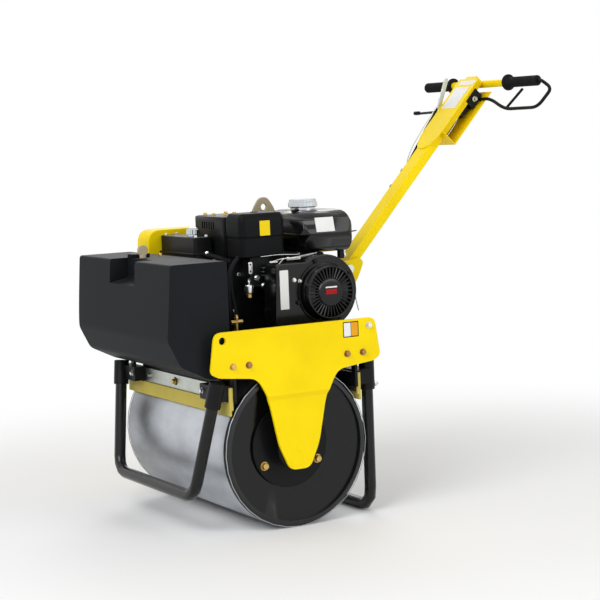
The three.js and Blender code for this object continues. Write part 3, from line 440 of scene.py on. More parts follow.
class Maker:
    """Gathers the faces of one piece, in metres in the frame."""

    def __init__(self):
        self.bm = bmesh.new()

    def grid(self, rows, closed_rows=False):
        """Joins equal rings of points with faces, and closes both ends or joins them."""
        rings = [[self.bm.verts.new(p) for p in row] for row in rows]
        count = len(rings[0])
        pairs = list(zip(rings, rings[1:]))
        if closed_rows:
            pairs.append((rings[-1], rings[0]))
        for low, high in pairs:
            for i in range(count):
                j = (i + 1) % count
                self.bm.faces.new((low[i], low[j], high[j], high[i]))
        if not closed_rows:
            self.bm.faces.new(rings[0][::-1])
            self.bm.faces.new(rings[-1])
        return self

    def turned(self, profile, at, axis, steps=40, turn=0.0, groove=0.0):
        """A body turned on an axis, from (radius, height) pairs; its rim may have grooves along it."""
        place = basis(axis, at, turn)
        on_axis = profile[0][0] == 0 and profile[-1][0] == 0
        points = profile[1:-1] if on_axis else profile
        rim = 0.9 * max(r for r, _ in points)
        rows = []
        for r, h in points:
            row = []
            for i in range(steps):
                a = 2 * math.pi * i / steps
                reach = r - groove if r > rim and i % 4 == 0 else r
                row.append(place @ Vector((reach * math.cos(a), reach * math.sin(a), h)))
            rows.append(row)
        return self.grid(rows, closed_rows=not on_axis)

    def tube(self, path, radius, sides=16, loop=False):
        """A round bar along a path, with flat ends."""
        points = [Vector(p) for p in path]
        radii = radius if isinstance(radius, list) else [radius] * len(points)
        count = len(points)
        rows = []
        side = None
        for i, p in enumerate(points):
            before = points[(i - 1) % count] if loop or i else p
            after = points[(i + 1) % count] if loop or i < count - 1 else p
            along = (after - before).normalized()
            if side is None:
                side = along.orthogonal().normalized()
            side = (side - along * side.dot(along)).normalized()
            other = along.cross(side)
            angles = [2 * math.pi * k / sides for k in range(sides)]
            rows.append([p + radii[i] * (side * math.cos(a) + other * math.sin(a)) for a in angles])
        return self.grid(rows, closed_rows=loop)

    def slab(self, outline, thickness, place, edge=0.0):
        """A plate with the given outline, from the place's plane upwards, with eased rims."""
        eased = [(edge, 0.0), (0.0, edge), (0.0, thickness - edge), (edge, thickness)]
        plain = [(0.0, 0.0), (0.0, thickness)]
        return self.stack(outline, eased if edge else plain, place)

    def stack(self, outline, steps, place):
        """A body of one outline, drawn in by each step's first number at the height of its second."""
        return self.grid([[place @ Vector((u, v, h)) for u, v in inset(outline, e)] for e, h in steps])

    def block(self, low, high, edge, place=Matrix.Identity(4)):
        """A box between two corners, with eased rims and rounded corners."""
        low, high = Vector(low), Vector(high)
        middle, size = (low + high) / 2, high - low
        corner = min(1.5 * edge, 0.45 * size.x, 0.45 * size.y)
        outline = [(x + middle.x, y + middle.y) for x, y in rounded_rectangle(size.x, size.y, corner, 2)]
        foot = place @ Matrix.Translation((0, 0, low.z))
        return self.slab(outline, size.z, foot, min(edge, size.z / 3))

    def bolt(self, at, axis, flats, thread=0.0):
        """A hexagon head on a washer, with an optional length of thread out of it."""
        radius, slant, skew = flats / math.sqrt(3), 0.1 * flats, 0.3
        washer, rim = 0.12 * flats, 1.05 * radius * 1.15
        top = washer + 0.55 * flats
        self.turned([(0, 0), (rim, 0), (rim, washer), (0, washer)], at, axis, 28)
        head = [(0, washer), (radius, washer), (radius, top - slant), (0.86 * radius, top), (0, top)]
        self.turned(head, at, axis, 6, skew)
        if thread:
            stem, end = 0.28 * flats, top + thread
            screw = [(0, top), (stem, top), (stem, end - 1 * MM), (0.8 * stem, end), (0, end)]
            self.turned(screw, at, axis, 16)
        return self

    def finish(self, name, node, material, replaces=(), sharp=EASE):
        """Turns the gathered faces into a piece."""
        mesh = bpy.data.meshes.new(name)
        bmesh.ops.remove_doubles(self.bm, verts=self.bm.verts, dist=1e-6)
        bmesh.ops.recalc_face_normals(self.bm, faces=self.bm.faces)
        self.bm.to_mesh(mesh)
        self.bm.free()
        return settle(name, mesh, node, material, replaces, sharp)


def inset(outline, distance):
    """The outline moved inwards by a small distance."""
    if not distance:
        return outline
    count = len(outline)
    area = sum(a[0] * b[1] - b[0] * a[1] for a, b in zip(outline, outline[1:] + outline[:1]))
    sign, slack, sharpest = (1 if area > 0 else -1), 0.98, 0.2
    moved = []
    for i, here in enumerate(outline):
        p = Vector(here)
        before = (p - Vector(outline[i - 1])).normalized()
        after = (Vector(outline[(i + 1) % count]) - p).normalized()
        normal = sign * Vector((-(before.y + after.y), before.x + after.x))
        size = max(normal.length, sharpest)
        moved.append(tuple(p + normal * (2 * distance / size**2) * slack))
    return moved


def settle(name, mesh, node, material, replaces, sharp):
    """Makes the object of a finished mesh, which rides with the node that carries it."""
    mesh.shade_smooth()
    mesh.set_sharp_from_angle(angle=math.radians(sharp))
    piece = bpy.data.objects.new(name, mesh)
    bpy.context.scene.collection.objects.link(piece)
    mesh.materials.append(MATERIALS[material])
    weights = piece.modifiers.new("even faces", "WEIGHTED_NORMAL")
    weights.keep_sharp = True
    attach(piece, NODE_BODY[node])
    if replaces:
        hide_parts(*replaces)
    return piece


def skin(node, material, edge=0.0, sharp=EASE, segments=2):
    """The node's own shape with its hard edges eased, as a piece that stands for it."""
    bm = bmesh.new()
    bm.from_mesh(frame["nodes"][node].data)
    same, flat, softer = 1e-5, math.radians(0.6), 8
    bmesh.ops.remove_doubles(bm, verts=bm.verts, dist=same)
    bmesh.ops.dissolve_limit(
        bm, angle_limit=flat, use_dissolve_boundaries=False, verts=bm.verts, edges=bm.edges
    )
    if edge:
        limit = math.radians(sharp)
        hard = [e for e in bm.edges if len(e.link_faces) == 2 and e.calc_face_angle(0.0) > limit]
        bmesh.ops.bevel(
            bm, geom=hard, offset=edge, segments=segments, profile=0.6, affect="EDGES", clamp_overlap=True
        )
    bmesh.ops.recalc_face_normals(bm, faces=bm.faces)
    mesh = bpy.data.meshes.new(f"{node}_skin")
    bm.to_mesh(mesh)
    bm.free()
    return settle(f"{node}_skin", mesh, node, material, (node,), sharp + softer)


def spot(node, x, y, z):
    """A point by its share of each side of the node's box, and millimetres past that."""
    low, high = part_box(node)
    return Vector([a + share * (b - a) + more * MM for a, b, (share, more) in zip(low, high, (x, y, z))])


def every(node, xs, ys, zs):
    """The spots at each of the given places along the three axes."""
    return [spot(node, x, y, z) for x in xs for y in ys for z in zs]


def around(centre, radius, angles):
    """Points on a circle about an axis along X."""
    return [centre + radius * Vector((0, math.cos(a), math.sin(a))) for a in angles]


def cut_away(piece, maker):
    """Takes the maker's body out of a piece."""
    mesh = bpy.data.meshes.new("tool")
    bmesh.ops.recalc_face_normals(maker.bm, faces=maker.bm.faces)
    maker.bm.to_mesh(mesh)
    maker.bm.free()
    tool = bpy.data.objects.new("tool", mesh)
    bpy.context.scene.collection.objects.link(tool)
    hole = piece.modifiers.new("hole", "BOOLEAN")
    hole.operation = "DIFFERENCE"
    hole.solver = "EXACT"
    hole.object = tool
    bpy.context.view_layer.update()
    cut = piece.evaluated_get(bpy.context.evaluated_depsgraph_get())
    mesh = bpy.data.meshes.new_from_object(cut)
    piece.modifiers.remove(hole)
    piece.data = mesh
    bpy.data.objects.remove(tool)


def bolts(name, node, material, spots, axis, flats, thread=0.0):
    maker = Maker()
    for place in spots:
        maker.bolt(place, axis, flats, thread)
    return maker.finish(name, node, material)


def rings(name, node, material, spots, axis, inner, outer, height):
    """Flat rings or washers; with no inner radius they are discs."""
    maker, ease = Maker(), min(0.4 * height, 0.3 * MM)
    rim = [(outer, 0), (outer, height - ease), (outer - ease, height)]
    for place in spots:
        maker.turned([(inner, 0), *rim, (inner, height)], place, axis, 32)
    return maker.finish(name, node, material)


def film(name, node, material, axis, at, size):
    """A blank stuck-on label; its size is in millimetres."""
    width, height = size
    outline = rounded_rectangle(width * MM, height * MM, 1.6 * MM, 3)
    return Maker().slab(outline, 0.3 * MM, basis(axis, at)).finish(name, node, material)


def strip(name, node, material, axis, at, size, thickness, corner, edge=0.4):
    """A flat bar with rounded ends; its sizes are in millimetres."""
    width, height = size
    outline = rounded_rectangle(width * MM, height * MM, corner * MM)
    return Maker().slab(outline, thickness * MM, basis(axis, at), edge * MM).finish(name, node, material)


def pipe(name, node, material, points, radius, steps=8, sides=16):
    """A round bar, wire or hose on a smooth path; its radius is in millimetres."""
    return Maker().tube(through(points, steps), radius * MM, sides).finish(name, node, material)


# ---------------------------------------------------------------- frame and drum
SHEETS = {
    "yellow": ("side_plate_left", "side_plate_right"),
    "black": ("deck", "front_beam", "rear_beam"),
    "zinc": ("front_scraper_plate", "rear_scraper_plate"),
    # The scrapers take the yellow paint with shade painted into it.
    "olive": ("front_scraper", "rear_scraper"),
}


def build_sheet_metal():
    edges = bpy.context.scene.roller_edges
    skins = {}
    for material, nodes in SHEETS.items():
        for node in nodes:
            skins[node] = skin(node, material, edges.sheet, CREASE)
    for side, sign in SIDES:
        trim_side_plate(side, sign, skins[f"side_plate_{side}"])
    stick_side_film()
    trim_scraper("front", FRONT, (0, 0))
    trim_scraper("rear", BACK, (1, 0))


def trim_side_plate(side, sign, sheet):
    """The hole, the bolts and the axle's boss of one side plate."""
    edges = bpy.context.scene.roller_edges
    plate = f"side_plate_{side}"
    out, face = (sign, 0, 0), ((1 + sign) / 2, 0)
    hole, reach, joggle = 10, 20, 6
    bore = mm((0, -reach), (hole, -reach), (hole, reach), (0, reach))
    cut_away(sheet, Maker().turned(bore, spot(plate, face, (0, 35), (1, -22)), out))
    row = every(plate, [face], ((0, 62), (0, 108), (1, -103), (1, -54)), [(1, -90)])
    bolts(f"side_plate_front_bolt_{side}", plate, "brass", row[:1], out, edges.m8)
    bolts(f"side_plate_bolts_{side}", plate, "copper", row[1:], out, edges.m8)
    corner = [spot(plate, face, (1, -33), (1, -20))]
    bolts(f"side_plate_end_bolt_{side}", plate, "bright", corner, out, edges.m8)
    boss = [spot(plate, (face[0], -joggle * sign), (0, 251), (0, 58))]
    rings(f"axle_boss_{side}", plate, "yellow", boss, out, 10.5 * MM, 13 * MM, 0.9 * MM)


def stick_side_film():
    """The blank label of the right plate: a dark rim round a white half and an orange one."""
    plate = "side_plate_right"
    centre = spot(plate, (1, 0), (1, -89), (1, -26.5))
    film("side_film_border", plate, "black", RIGHT, centre, (41, 48))
    for material, y in (("white", -11.2), ("orange", 11.2)):
        half = centre + Vector((0.25, y, 0)) * MM
        film(f"side_film_{material}", plate, material, RIGHT, half, (36, 21))


def trim_scraper(end, axis, y):
    """The bolts of one scraper plate; the middle one has a rubber washer."""
    plate = f"{end}_scraper_plate"
    line, washer = (1, -18), 1.5 * MM
    middle = spot(plate, (0.5, -15), y, line)
    rings(f"{end}_scraper_washer", plate, "rubber", [middle], axis, 0, 11 * MM, washer)
    raised = [middle + Vector(axis) * washer]
    bolts(f"{end}_scraper_bolt", plate, "brass", raised, axis, bpy.context.scene.roller_edges.m8)
    ends = every(plate, ((0.5, -175), (0.5, 150)), [y], [line])
    bolts(f"{end}_scraper_end_bolts", plate, "zinc", ends, axis, 10 * MM)


def build_stands():
    edges = bpy.context.scene.roller_edges
    for node in ("front_stand", "rear_stand"):
        skin(node, "gloss_black", sharp=ROUND)
    for side, sign in SIDES:
        inner, outer = ((1 - sign) / 2, 14 * sign), ((1 + sign) / 2, -29 * sign)
        front, rear = f"front_stand_clamp_{side}", f"rear_stand_clamp_{side}"
        for clamp in (front, rear):
            skin(clamp, "black", edges.sheet)
        bolts(f"{front}_bolt", front, "bright", [spot(front, inner, (0, 27), (0, 42))], FRONT, 10 * MM)
        bolts(f"{rear}_bolt", rear, "bright", [spot(rear, inner, (1, -21), (0, 37))], BACK, 10 * MM)
        screws = every(rear, [outer], [(1, -0.5)], ((0, 12), (0, 100)))
        bolts(f"{rear}_screws", rear, "zinc", screws, BACK, edges.m8, 6 * MM)


def build_drum():
    edges = bpy.context.scene.roller_edges
    skin("drum_shell", "steel")
    bolt_circle, bolt_turns = 93 * MM, [math.radians(a) for a in (-30, 90, 210)]
    for side, sign in SIDES:
        flange = f"drum_flange_{side}"
        skin(f"drum_end_{side}", "gloss_black")
        skin(flange, "black", 1 * MM)
        skin(f"drum_axle_{side}", "black", 1 * MM)
        face = spot(flange, ((1 + sign) / 2, 0), *MIDDLE)
        places = around(face, bolt_circle, bolt_turns)
        bolts(f"{flange}_bolts", flange, "brass", places, (sign, 0, 0), edges.m10)
        edge_drum(side, sign)


def edge_drum(side, sign):
    """The bright line at the shell's edge, and the weld round the drum's end."""
    low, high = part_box("drum_shell")
    axle, radius = (low + high) / 2, (high.z - low.z) / 2
    rim = Vector((axle.x + sign * (high.x - axle.x - 0.8 * MM), axle.y, axle.z))
    inner, outer = radius - 1.8 * MM, radius - 0.2 * MM
    rings(f"drum_rim_{side}", "drum_shell", "shaft", [rim], (sign, 0, 0), inner, outer, 1 * MM)
    low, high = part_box(f"drum_end_{side}")
    foot = Vector((high.x if sign > 0 else low.x, axle.y, axle.z))
    steps, beads, bead, ripple = 180, 60, 2.2 * MM, 0.35 * MM
    turns = [2 * math.pi * i / steps for i in range(steps)]
    radii = [bead + ripple * math.sin(beads * a) for a in turns]
    weld = Maker().tube(around(foot, (high.z - low.z) / 2, turns), radii, 8, loop=True)
    weld.finish(f"drum_weld_{side}", "drum_shell", "gloss_black", sharp=70)


def build_water_system():
    edges = bpy.context.scene.roller_edges
    skin("water_tank", "charcoal", edges.moulding, segments=4)
    cap = mm((0, 0), (30, 0), (30, 7.5), (28.5, 9.5), (24, 10.5), (0, 11))
    lid(cap, "water_tank_cap", "plastic", 28, 1.2)
    skin("water_tap", "beige", 1 * MM)
    pipe_node = "sprinkler_pipe"
    skin(pipe_node, "black")
    for side, sign in SIDES:
        end = [spot(pipe_node, ((1 + sign) / 2, -6 * sign), *MIDDLE)]
        rings(f"sprinkler_end_{side}", pipe_node, "plastic", end, (sign, 0, 0), 0, 11 * MM, 10 * MM)
    jet_pitch, jet_first, jet_last = 24, 30, 520
    jets = [spot(pipe_node, (0, x), (0.5, 0), (0, 0.4)) for x in range(jet_first, jet_last, jet_pitch)]
    rings("sprinkler_jets", pipe_node, "brass", jets, DOWN, 0, 2.4 * MM, 1.4 * MM)
    lug = [spot("water_tank", (0.5, -45), (1, -28), (1, 0))]
    bolts("tank_bolt", "water_tank", "brass", lug, UP, 10 * MM)


def lid(profile, node, material, flutes, groove):
    """A screwed cap with grooves down its rim, in place of the plain one."""
    low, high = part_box(node)
    at = Vector(((low.x + high.x) / 2, (low.y + high.y) / 2, low.z))
    cap = Maker().turned(profile, at, UP, 4 * flutes, groove=groove * MM)
    cap.finish(f"{node}_lid", node, material, (node,), 30)


# ---------------------------------------------------------------- engine
def build_engine_block():
    edges = bpy.context.scene.roller_edges
    case, cowl = "engine_crankcase", "engine_cowl"
    skin(case, "black", edges.casting)
    skin("engine_cylinder", "iron", 0.8 * MM)
    skin("blower_housing", "aluminium", edges.casting)
    skin(cowl, "black", edges.sheet)
    skin("carburettor", "iron", 2 * MM)
    corners = (((0, 12), (0, 60)), ((0, 28), (1, -49)), ((1, -14), (0, 14)))
    bolts("cowl_bolts", cowl, "bright", [spot(cowl, (1, 0), y, z) for y, z in corners], RIGHT, 8 * MM)
    feet, foot = Maker(), 9 * MM
    places = every(case, ((0, 20), (1, -20)), ((0, -11), (1, 11)), [(0, 0)])
    for place in places:
        feet.slab(rounded_rectangle(34 * MM, 24 * MM, 5 * MM), foot, Matrix.Translation(place), 1 * MM)
    feet.finish("engine_feet", case, "black")
    bolts("engine_foot_bolts", case, "zinc", [p + foot * Z for p in places], UP, edges.m8)
    side = every(case, [(0, 0)], ((0, 16), (1, -16)), ((0, 20), (0, 100)))
    bolts("crankcase_bolts", case, "bright", side, LEFT, 10 * MM)
    bolts("drain_plug", case, "brass", [spot(case, (0.2, 0), (0, -0.5), (0, 30))], FRONT, 15 * MM)
    build_carburettor_trim()
    build_hoses()
    build_linkage()


def build_carburettor_trim():
    """The filter cup, the screws, the choke plate and the stops beside the carburettor."""
    node = "carburettor"
    cup, cup_depth = spot(node, (1, 4), (0, -7), (0, 8)), 25
    bowl = mm((0, 0), (10.5, 0), (12.5, -3), (12.5, -20), (9, -cup_depth), (0, -cup_depth))
    Maker().turned(bowl, cup, UP, 28).finish("filter_cup", node, "bright")
    bolts("filter_nut", node, "brass", [cup - cup_depth * MM * Z], DOWN, 14 * MM)
    bend = ((0, 0, 0), (0, 0, 8), (-6, 4, 14), (-16, 12, 16))
    pipe("filter_pipe", node, "zinc", [cup + Vector(p) * MM for p in bend], 3.5)
    dome = mm((0, -6), (5, -6), (5, 3), (8, 4), (8, 9), (5.5, 12), (0, 13))
    knobs = Maker()
    for y, z in (((0, 16), (0, 25.5)), ((0, 36), (0, 3))):
        knobs.turned(dome, spot(node, (1, 0), y, z), RIGHT, 24)
    knobs.finish("carburettor_screws", node, "bright")
    build_choke(node, (1, -28))
    stops = Maker()
    for z in (-31, -41, -51):
        bend = ((-1, 34, z), (11, 34, z), (11, 46, z + 1))
        stops.tube([spot(node, (1, x), (0, y), (1, up)) for x, y, up in bend], 1.6 * MM, 10)
    stops.finish("throttle_stop_bars", node, "zinc")


def build_choke(node, height):
    """A link plate with two holes on the end of the choke's stem."""
    at, thickness, hole, reach = spot(node, (1, 9), (0, -4), height), 2, 2.6, 5
    link = strip("choke_plate", node, "bright", RIGHT, at, (33, 12), thickness, 5)
    bore = mm((0, -reach), (hole, -reach), (hole, reach), (0, reach))
    for along in (-9, 9):
        cut_away(link, Maker().turned(bore, basis(RIGHT, at) @ Vector((along * MM, 0, 0)), RIGHT, 20))
    stem = [spot(node, (1, 0), (0, 4), height), spot(node, (1, 10), (0, -4), height)]
    Maker().tube(stem, 3 * MM).finish("choke_stem", node, "zinc")


def build_hoses():
    """The hoses in front of the engine, and the brass valve on the deck."""
    fuel = ((-26, 4, 3), (-26, -18, -30), (-24, -22, -80), (-10, -18, -150))
    path = [spot("air_cleaner", (1, x), (0, y), (0, z)) for x, y, z in fuel]
    pipe("fuel_hose", "engine_crankcase", "rubber", path, 4.2, 10)
    water = ((93, 2), (90, 60), (88, 120), (93, 165), (106, 192), (122, 209))
    path = [spot("deck", (0.5, 122), (0, y), (1, z)) for y, z in water]
    pipe("water_hose", "deck", "rubber", path, 6, 10)
    foot, height, branch = spot("deck", (0.5, 138), (0, 98), (1, 0)), 58, 38
    body = mm((0, 0), (9, 0), (9, 8), (6, 9), (6, height), (0, height))
    arms = mm((0, -16), (6.5, -16), (6.5, 18), (0, 18))
    valve = Maker().turned(body, foot, UP, 24)
    valve.turned(arms, foot + branch * MM * Z, BACK, 6)
    valve.tube([foot + Vector(p) * MM for p in ((0, 0, 46), (14, -4, 52))], 2.4 * MM)
    valve.finish("water_valve", "deck", "brass")


def over_shroud(x, y, z):
    """A place by millimetres from the fan shroud's right, front and top faces."""
    return spot("fan_shroud", (1, x), (0, y), (1, z))


def build_linkage():
    """Throttle rods, arm and spring over the fan shroud."""
    node, at = "fan_shroud", over_shroud
    rods = Maker()
    for radius, path in (
        (1.4, ((-24, 4, -12), (-22, 30, -6), (-22, 70, -4), (-26, 118, 0), (-30, 150, 3))),
        (1.2, ((-44, -14, 3), (-40, 40, 5), (-42, 96, 2), (-46, 106, 5))),
        (1.2, ((-12, 22, -17), (-10, 38, -4), (-12, 64, -5), (-14, 92, -2))),
    ):
        rods.tube(through([at(*p) for p in path]), radius * MM, 8)
    rods.finish("throttle_rods", node, "bright")
    strip("throttle_arm", node, "zinc", (0.25, 0, 1), at(-22, 72, -9), (9, 44), 2.4, 4)
    strip("choke_knob", node, "white", (0.3, 0, 1), at(-24, 13, -13), (7, 24), 3, 3, 0.8)
    bolts("arm_bolt", node, "bright", [at(-22, 90, -7), at(-22, 55, -7)], UP, 8 * MM)
    start, end, coils, steps, coil = at(-30, 96, -4), at(-34, 142, 1), 14, 12, 3 * MM
    path = []
    for i in range(coils * steps + 1):
        a = 2 * math.pi * i / steps
        path.append(start.lerp(end, i / (coils * steps)) + coil * Vector((math.cos(a), 0, math.sin(a))))
    Maker().tube(path, 0.6 * MM, 6).finish("governor_spring", node, "zinc", sharp=80)


def build_engine_covers():
    skin("fan_shroud", "gloss_black", bpy.context.scene.roller_edges.casting, segments=3)
    build_recoil_cover()
    build_shroud_trim()
    build_air_cleaner()
    build_muffler()


def starter_axis():
    """The middle of the starter's inner face, its depth and its radius."""
    low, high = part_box("recoil_starter")
    centre = Vector((low.x, (low.y + high.y) / 2, (low.z + high.z) / 2))
    return centre, high.x - low.x, (high.z - low.z) / 2


def build_recoil_cover():
    """The starter's cover: a raised ring, a plain middle, and ribs over a sunk floor between them."""
    node = "recoil_starter"
    centre, depth, radius = starter_axis()
    outer, inner, floor, ribs = 0.87 * radius, 0.5 * radius, depth - 13 * MM, 36
    ring = mm((0, -6), (2, -2), (4, -1))
    profile = [(0, 0), (radius, 0), (radius, 0.4 * depth), (radius - 2 * MM, 0.5 * depth)]
    profile += [(radius - 3 * MM - r, depth + h) for r, h in ring]
    profile += [(outer + 1 * MM, depth - 2 * MM), (outer, depth - 4 * MM), (outer, floor), (inner, floor)]
    profile += [(inner, depth - 4 * MM), (inner - 2 * MM, depth - 1.5 * MM), (24 * MM, depth), (0, depth)]
    cover = Maker().turned(profile, centre, RIGHT, 72)
    for i in range(ribs):
        low = (inner - 1 * MM, -2 * MM, floor - 1 * MM)
        high = (outer + 1 * MM, 2 * MM, depth - 3.6 * MM)
        cover.block(low, high, 0.9 * MM, basis(RIGHT, centre, 2 * math.pi * i / ribs))
    cover.finish("recoil_cover", node, "gloss_black", (node,), 30)


def build_shroud_trim():
    """The bead, the bolts, the blank labels and the starter's grip on the fan shroud."""
    node = "fan_shroud"
    centre, depth, radius = starter_axis()
    bead = (radius + 3 * MM, radius + 8 * MM, 4 * MM)
    rings("shroud_bead", node, "gloss_black", [centre], RIGHT, *bead)
    bolts("shroud_bolts", node, "black", around(centre, 88 * MM, (0.5, 1.9, 3.4, 5.2)), RIGHT, 10 * MM)
    for name, material, z, size in (("bar", "white", 14, (4, 36)), ("block", "red", 2, (13, 33))):
        at = centre + Vector((depth, 0, z * MM))
        film(f"starter_{name}", "recoil_starter", material, RIGHT, at, size)
    film("shroud_film", node, "white", RIGHT, over_shroud(0, 29, -86), (104, 26))
    screws = [over_shroud(0, 60, -62), over_shroud(0, 77, -66)]
    bolts("shroud_screws", node, "bright", screws, RIGHT, 8 * MM)
    wire = ((-12, 104), (5, 84), (10, 62), (16, 38))
    path = [spot(node, (1, -18), (1, y), (0, z)) for y, z in wire]
    pipe("starter_wire", node, "bright", path, 1.8, sides=10)
    grip = spot(node, (1, -32), (0.5, 28), (1, -6))
    strip("starter_grip", node, "plastic", (0, 0.35, 1), grip, (40, 13), 12, 6, 3)


def build_air_cleaner():
    node = "air_cleaner"
    low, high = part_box(node)
    size = high - low
    place = Matrix.Translation(((low.x + high.x) / 2, (low.y + high.y) / 2, low.z))
    base = mm((3, 0), (1.6, 2), (1.6, 50), (4, 51.5), (4, 53.5), (0, 55))
    crown = mm((0, -24), (2.2, -12), (6.5, -4), (11, -1), (15, 0))
    steps = base + [(e, size.z + h) for e, h in crown]
    body = Maker().stack(rounded_rectangle(size.x, size.y, 18 * MM, 6), steps, place)
    body.finish("air_cleaner_body", node, "plastic", (node,), 30)
    film("air_cleaner_film", node, "lemon", RIGHT, spot(node, (1, 0), (0, 73), (1, -41)), (40, 31))
    knob = mm((0, 0), (11, 0), (11, 2), (9, 3), (0, 3.4))
    turned = Maker().turned(knob, spot(node, *MIDDLE, (1, -0.5)), UP, 48, groove=0.8 * MM)
    turned.finish("air_cleaner_knob", node, "plastic")
    clips, (low, high) = Maker(), mm((-5, -9, 0), (5, 9, 3))
    for y in (0.25, 0.75):
        clips.block(low, high, 0.8 * MM, basis(LEFT, spot(node, (0, 1.8), (y, 0), (0, 52))))
    clips.finish("air_cleaner_clips", node, "zinc")


def build_muffler():
    node = "muffler"
    piece = skin(node, "black", 0)
    slots, (low, high) = Maker(), mm((0, -6, -4), (7, 14, 8))
    first, pitch, count = 50, 13, 6
    for i in range(count):
        place = basis(FRONT, spot(node, (0, first + pitch * i), (0, 4), (1, -30)))
        slots.block(low, high, 1 * MM, place)
    cut_away(piece, slots)
    screws = every(node, ((0, 30), (0.5, -8), (1, -34)), ((0, 22), (1, -22)), [(1, 0)])
    bolts("muffler_bolts", node, "brass", screws, UP, 9 * MM)
    mouth = spot(node, (0, 4), (0.5, 0), (0, 56))
    tube = mm((8, 0), (11, 0), (11, 18), (8, 18))
    Maker().turned(tube, mouth, LEFT, 32).finish("muffler_outlet", node, "iron")
    flange = [mouth + Vector(LEFT) * 4 * MM]
    rings("muffler_flange", node, "iron", flange, LEFT, 11 * MM, 19 * MM, 3 * MM)


def outline_at(node, height):
    """The node's outline, seen from above, at its corners nearest the given height."""
    body = frame["nodes"][node]
    points = [body.matrix_world @ v.co for v in body.data.vertices]
    nearest = min(abs(p.z - height) for p in points)
    level = {(round(p.x, 5), round(p.y, 5)) for p in points if abs(p.z - height) < nearest + 0.1 * MM}
    middle = sum((Vector(p) for p in level), Vector((0, 0))) / len(level)
    return sorted(level, key=lambda p: math.atan2(p[1] - middle.y, p[0] - middle.x))


def build_fuel_system():
    node, seam, lip = "fuel_tank", 52, 2.2 * MM
    skin(node, "gloss_black", 0, sharp=50)
    skirt = mm((0, 0), (34, 0), (34, 6), (39, 7.5), (40, 9), (40, 19), (38.5, 21))
    crown = mm((37, 22), (37, 27), (35, 29), (31, 29.7), (0, 29.7))
    lid(skirt + crown, "fuel_cap", "chrome", 20, 1.1)
    slope = spot(node, (1, -10.3), (0, 78.5), (1, -39.5))
    film("fuel_tank_film", node, "white", (62, 0, 16), slope, (40, 58))
    foot = spot(node, (0, 0), (0, 0), (0, seam))
    rim = inset(outline_at(node, foot.z), -lip)
    level = Matrix.Translation((0, 0, foot.z - 1.4 * MM))
    Maker().slab(rim, 2.8 * MM, level, 0.6 * MM).finish("fuel_tank_seam", node, "gloss_black")
    low, high = spot(node, (1, -55), (1, -38), (0, -23)), spot(node, (1, -39), (1, -23), (0, 8))
    Maker().block(low, high, 1.5 * MM).finish("fuel_tank_tab", node, "black")
    bolts("fuel_tank_bolt", node, "zinc", [spot(node, (1, -47), (1, -23), (0, -14))], BACK, 11 * MM)


def build_drive():
    build_belt_guard()
    skin("drive_shaft", "shaft")
    build_oil_tank()
    node = "lifting_eye"
    skin(node, "beige", 1 * MM)
    feet = every(node, [(0, 0)], ((0, 14), (1, -14)), [(0, 14)])
    bolts("lifting_eye_bolts", node, "zinc", feet, LEFT, bpy.context.scene.roller_edges.m8)


def build_belt_guard():
    """The guard, with slots that fill a circle and the bolts at its corners."""
    edges = bpy.context.scene.roller_edges
    node = "belt_guard"
    guard = skin(node, "yellow", edges.casting)
    centre, circle, pitch, rows = spot(node, (0, 0), (1, -96), (1, -169)), 62, 18, 3
    slots = Maker()
    for row in range(-rows, rows + 1):
        reach = math.sqrt(circle**2 - (pitch * row) ** 2)
        low, high = mm((-3, -reach, -2), (3, reach, 3))
        slots.block(low, high, 1.5 * MM, basis(LEFT, centre + pitch * row * MM * Z))
    cut_away(guard, slots)
    corners = (((0, 30), (0, 26)), ((0, 34), (1, -26)), ((1, -150), (1, -26)), ((1, -200), (0, 26)))
    places = [spot(node, (0, 0), y, z) for y, z in corners]
    bolts("belt_guard_bolts", node, "zinc", places, LEFT, edges.m8)


def build_oil_tank():
    """The oil tank with its lip, cap and hose."""
    node = "oil_tank"
    skin(node, "black", bpy.context.scene.roller_edges.casting)
    low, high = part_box(node)
    lip = rounded_rectangle(high.x - low.x + 7 * MM, high.y - low.y + 12 * MM, 8 * MM)
    place = Matrix.Translation(((low.x + high.x) / 2 + 1 * MM, (low.y + high.y) / 2, high.z - 48 * MM))
    Maker().slab(lip, 5 * MM, place, 1 * MM).finish("oil_tank_lip", node, "black")
    route = ((-1, 28, -45), (24, 35, -50), (54, 48, -57), (70, 70, -67))
    pipe("oil_hose", node, "rubber", [spot(node, (1, x), (0, y), (1, z)) for x, y, z in route], 7)
    clip = [spot(node, (1, 15), (0, 29), (1, -42))]
    bolts("oil_hose_screw", node, "zinc", clip, (0.7, -0.6, 0.4), 6 * MM)
    corners = every(node, ((0, 14), (1, -14)), ((0, 12), (1, -12)), [(1, 0)])
    bolts("oil_tank_bolts", node, "bright", corners, UP, 8 * MM)
    cap = mm((0, 0), (15, 0), (15, 5), (18, 6), (18, 18), (16.5, 20), (12, 24), (6, 26.4), (0, 27))
    lid(cap, "oil_tank_cap", "chrome", 14, 1.3)


# ---------------------------------------------------------------- handle
LEAN = math.radians(47.5)
COVER_TOP = 17.4


def handle_place():
    """The handle's own frame in millimetres: y runs up along it and z stands out of its upper face."""
    fold = next(j for j in frame["record"]["behaviour"]["joints"] if j["name"] == "handle_fold")
    return Matrix.Translation(fold["pos_m"]) @ Matrix.Rotation(LEAN, 4, "X") @ Matrix.Scale(MM, 4)


def build_handle():
    edges = bpy.context.scene.roller_edges
    skin("handle_bracket", "yellow", edges.sheet)
    skin("handle_pin", "zinc", 1 * MM)
    skin("handle_tube", "yellow", 1.6 * MM)
    skin("handlebar", "yellow", 1 * MM)
    base = every("handle_bracket", ((0, 12), (1, -12)), [(0, 6)], ((0, 14), (0, 42)))
    bolts("bracket_bolts", "handle_bracket", "bright", base, BACK, edges.m8)
    for side, sign in SIDES:
        build_grip(f"grip_{side}", sign)


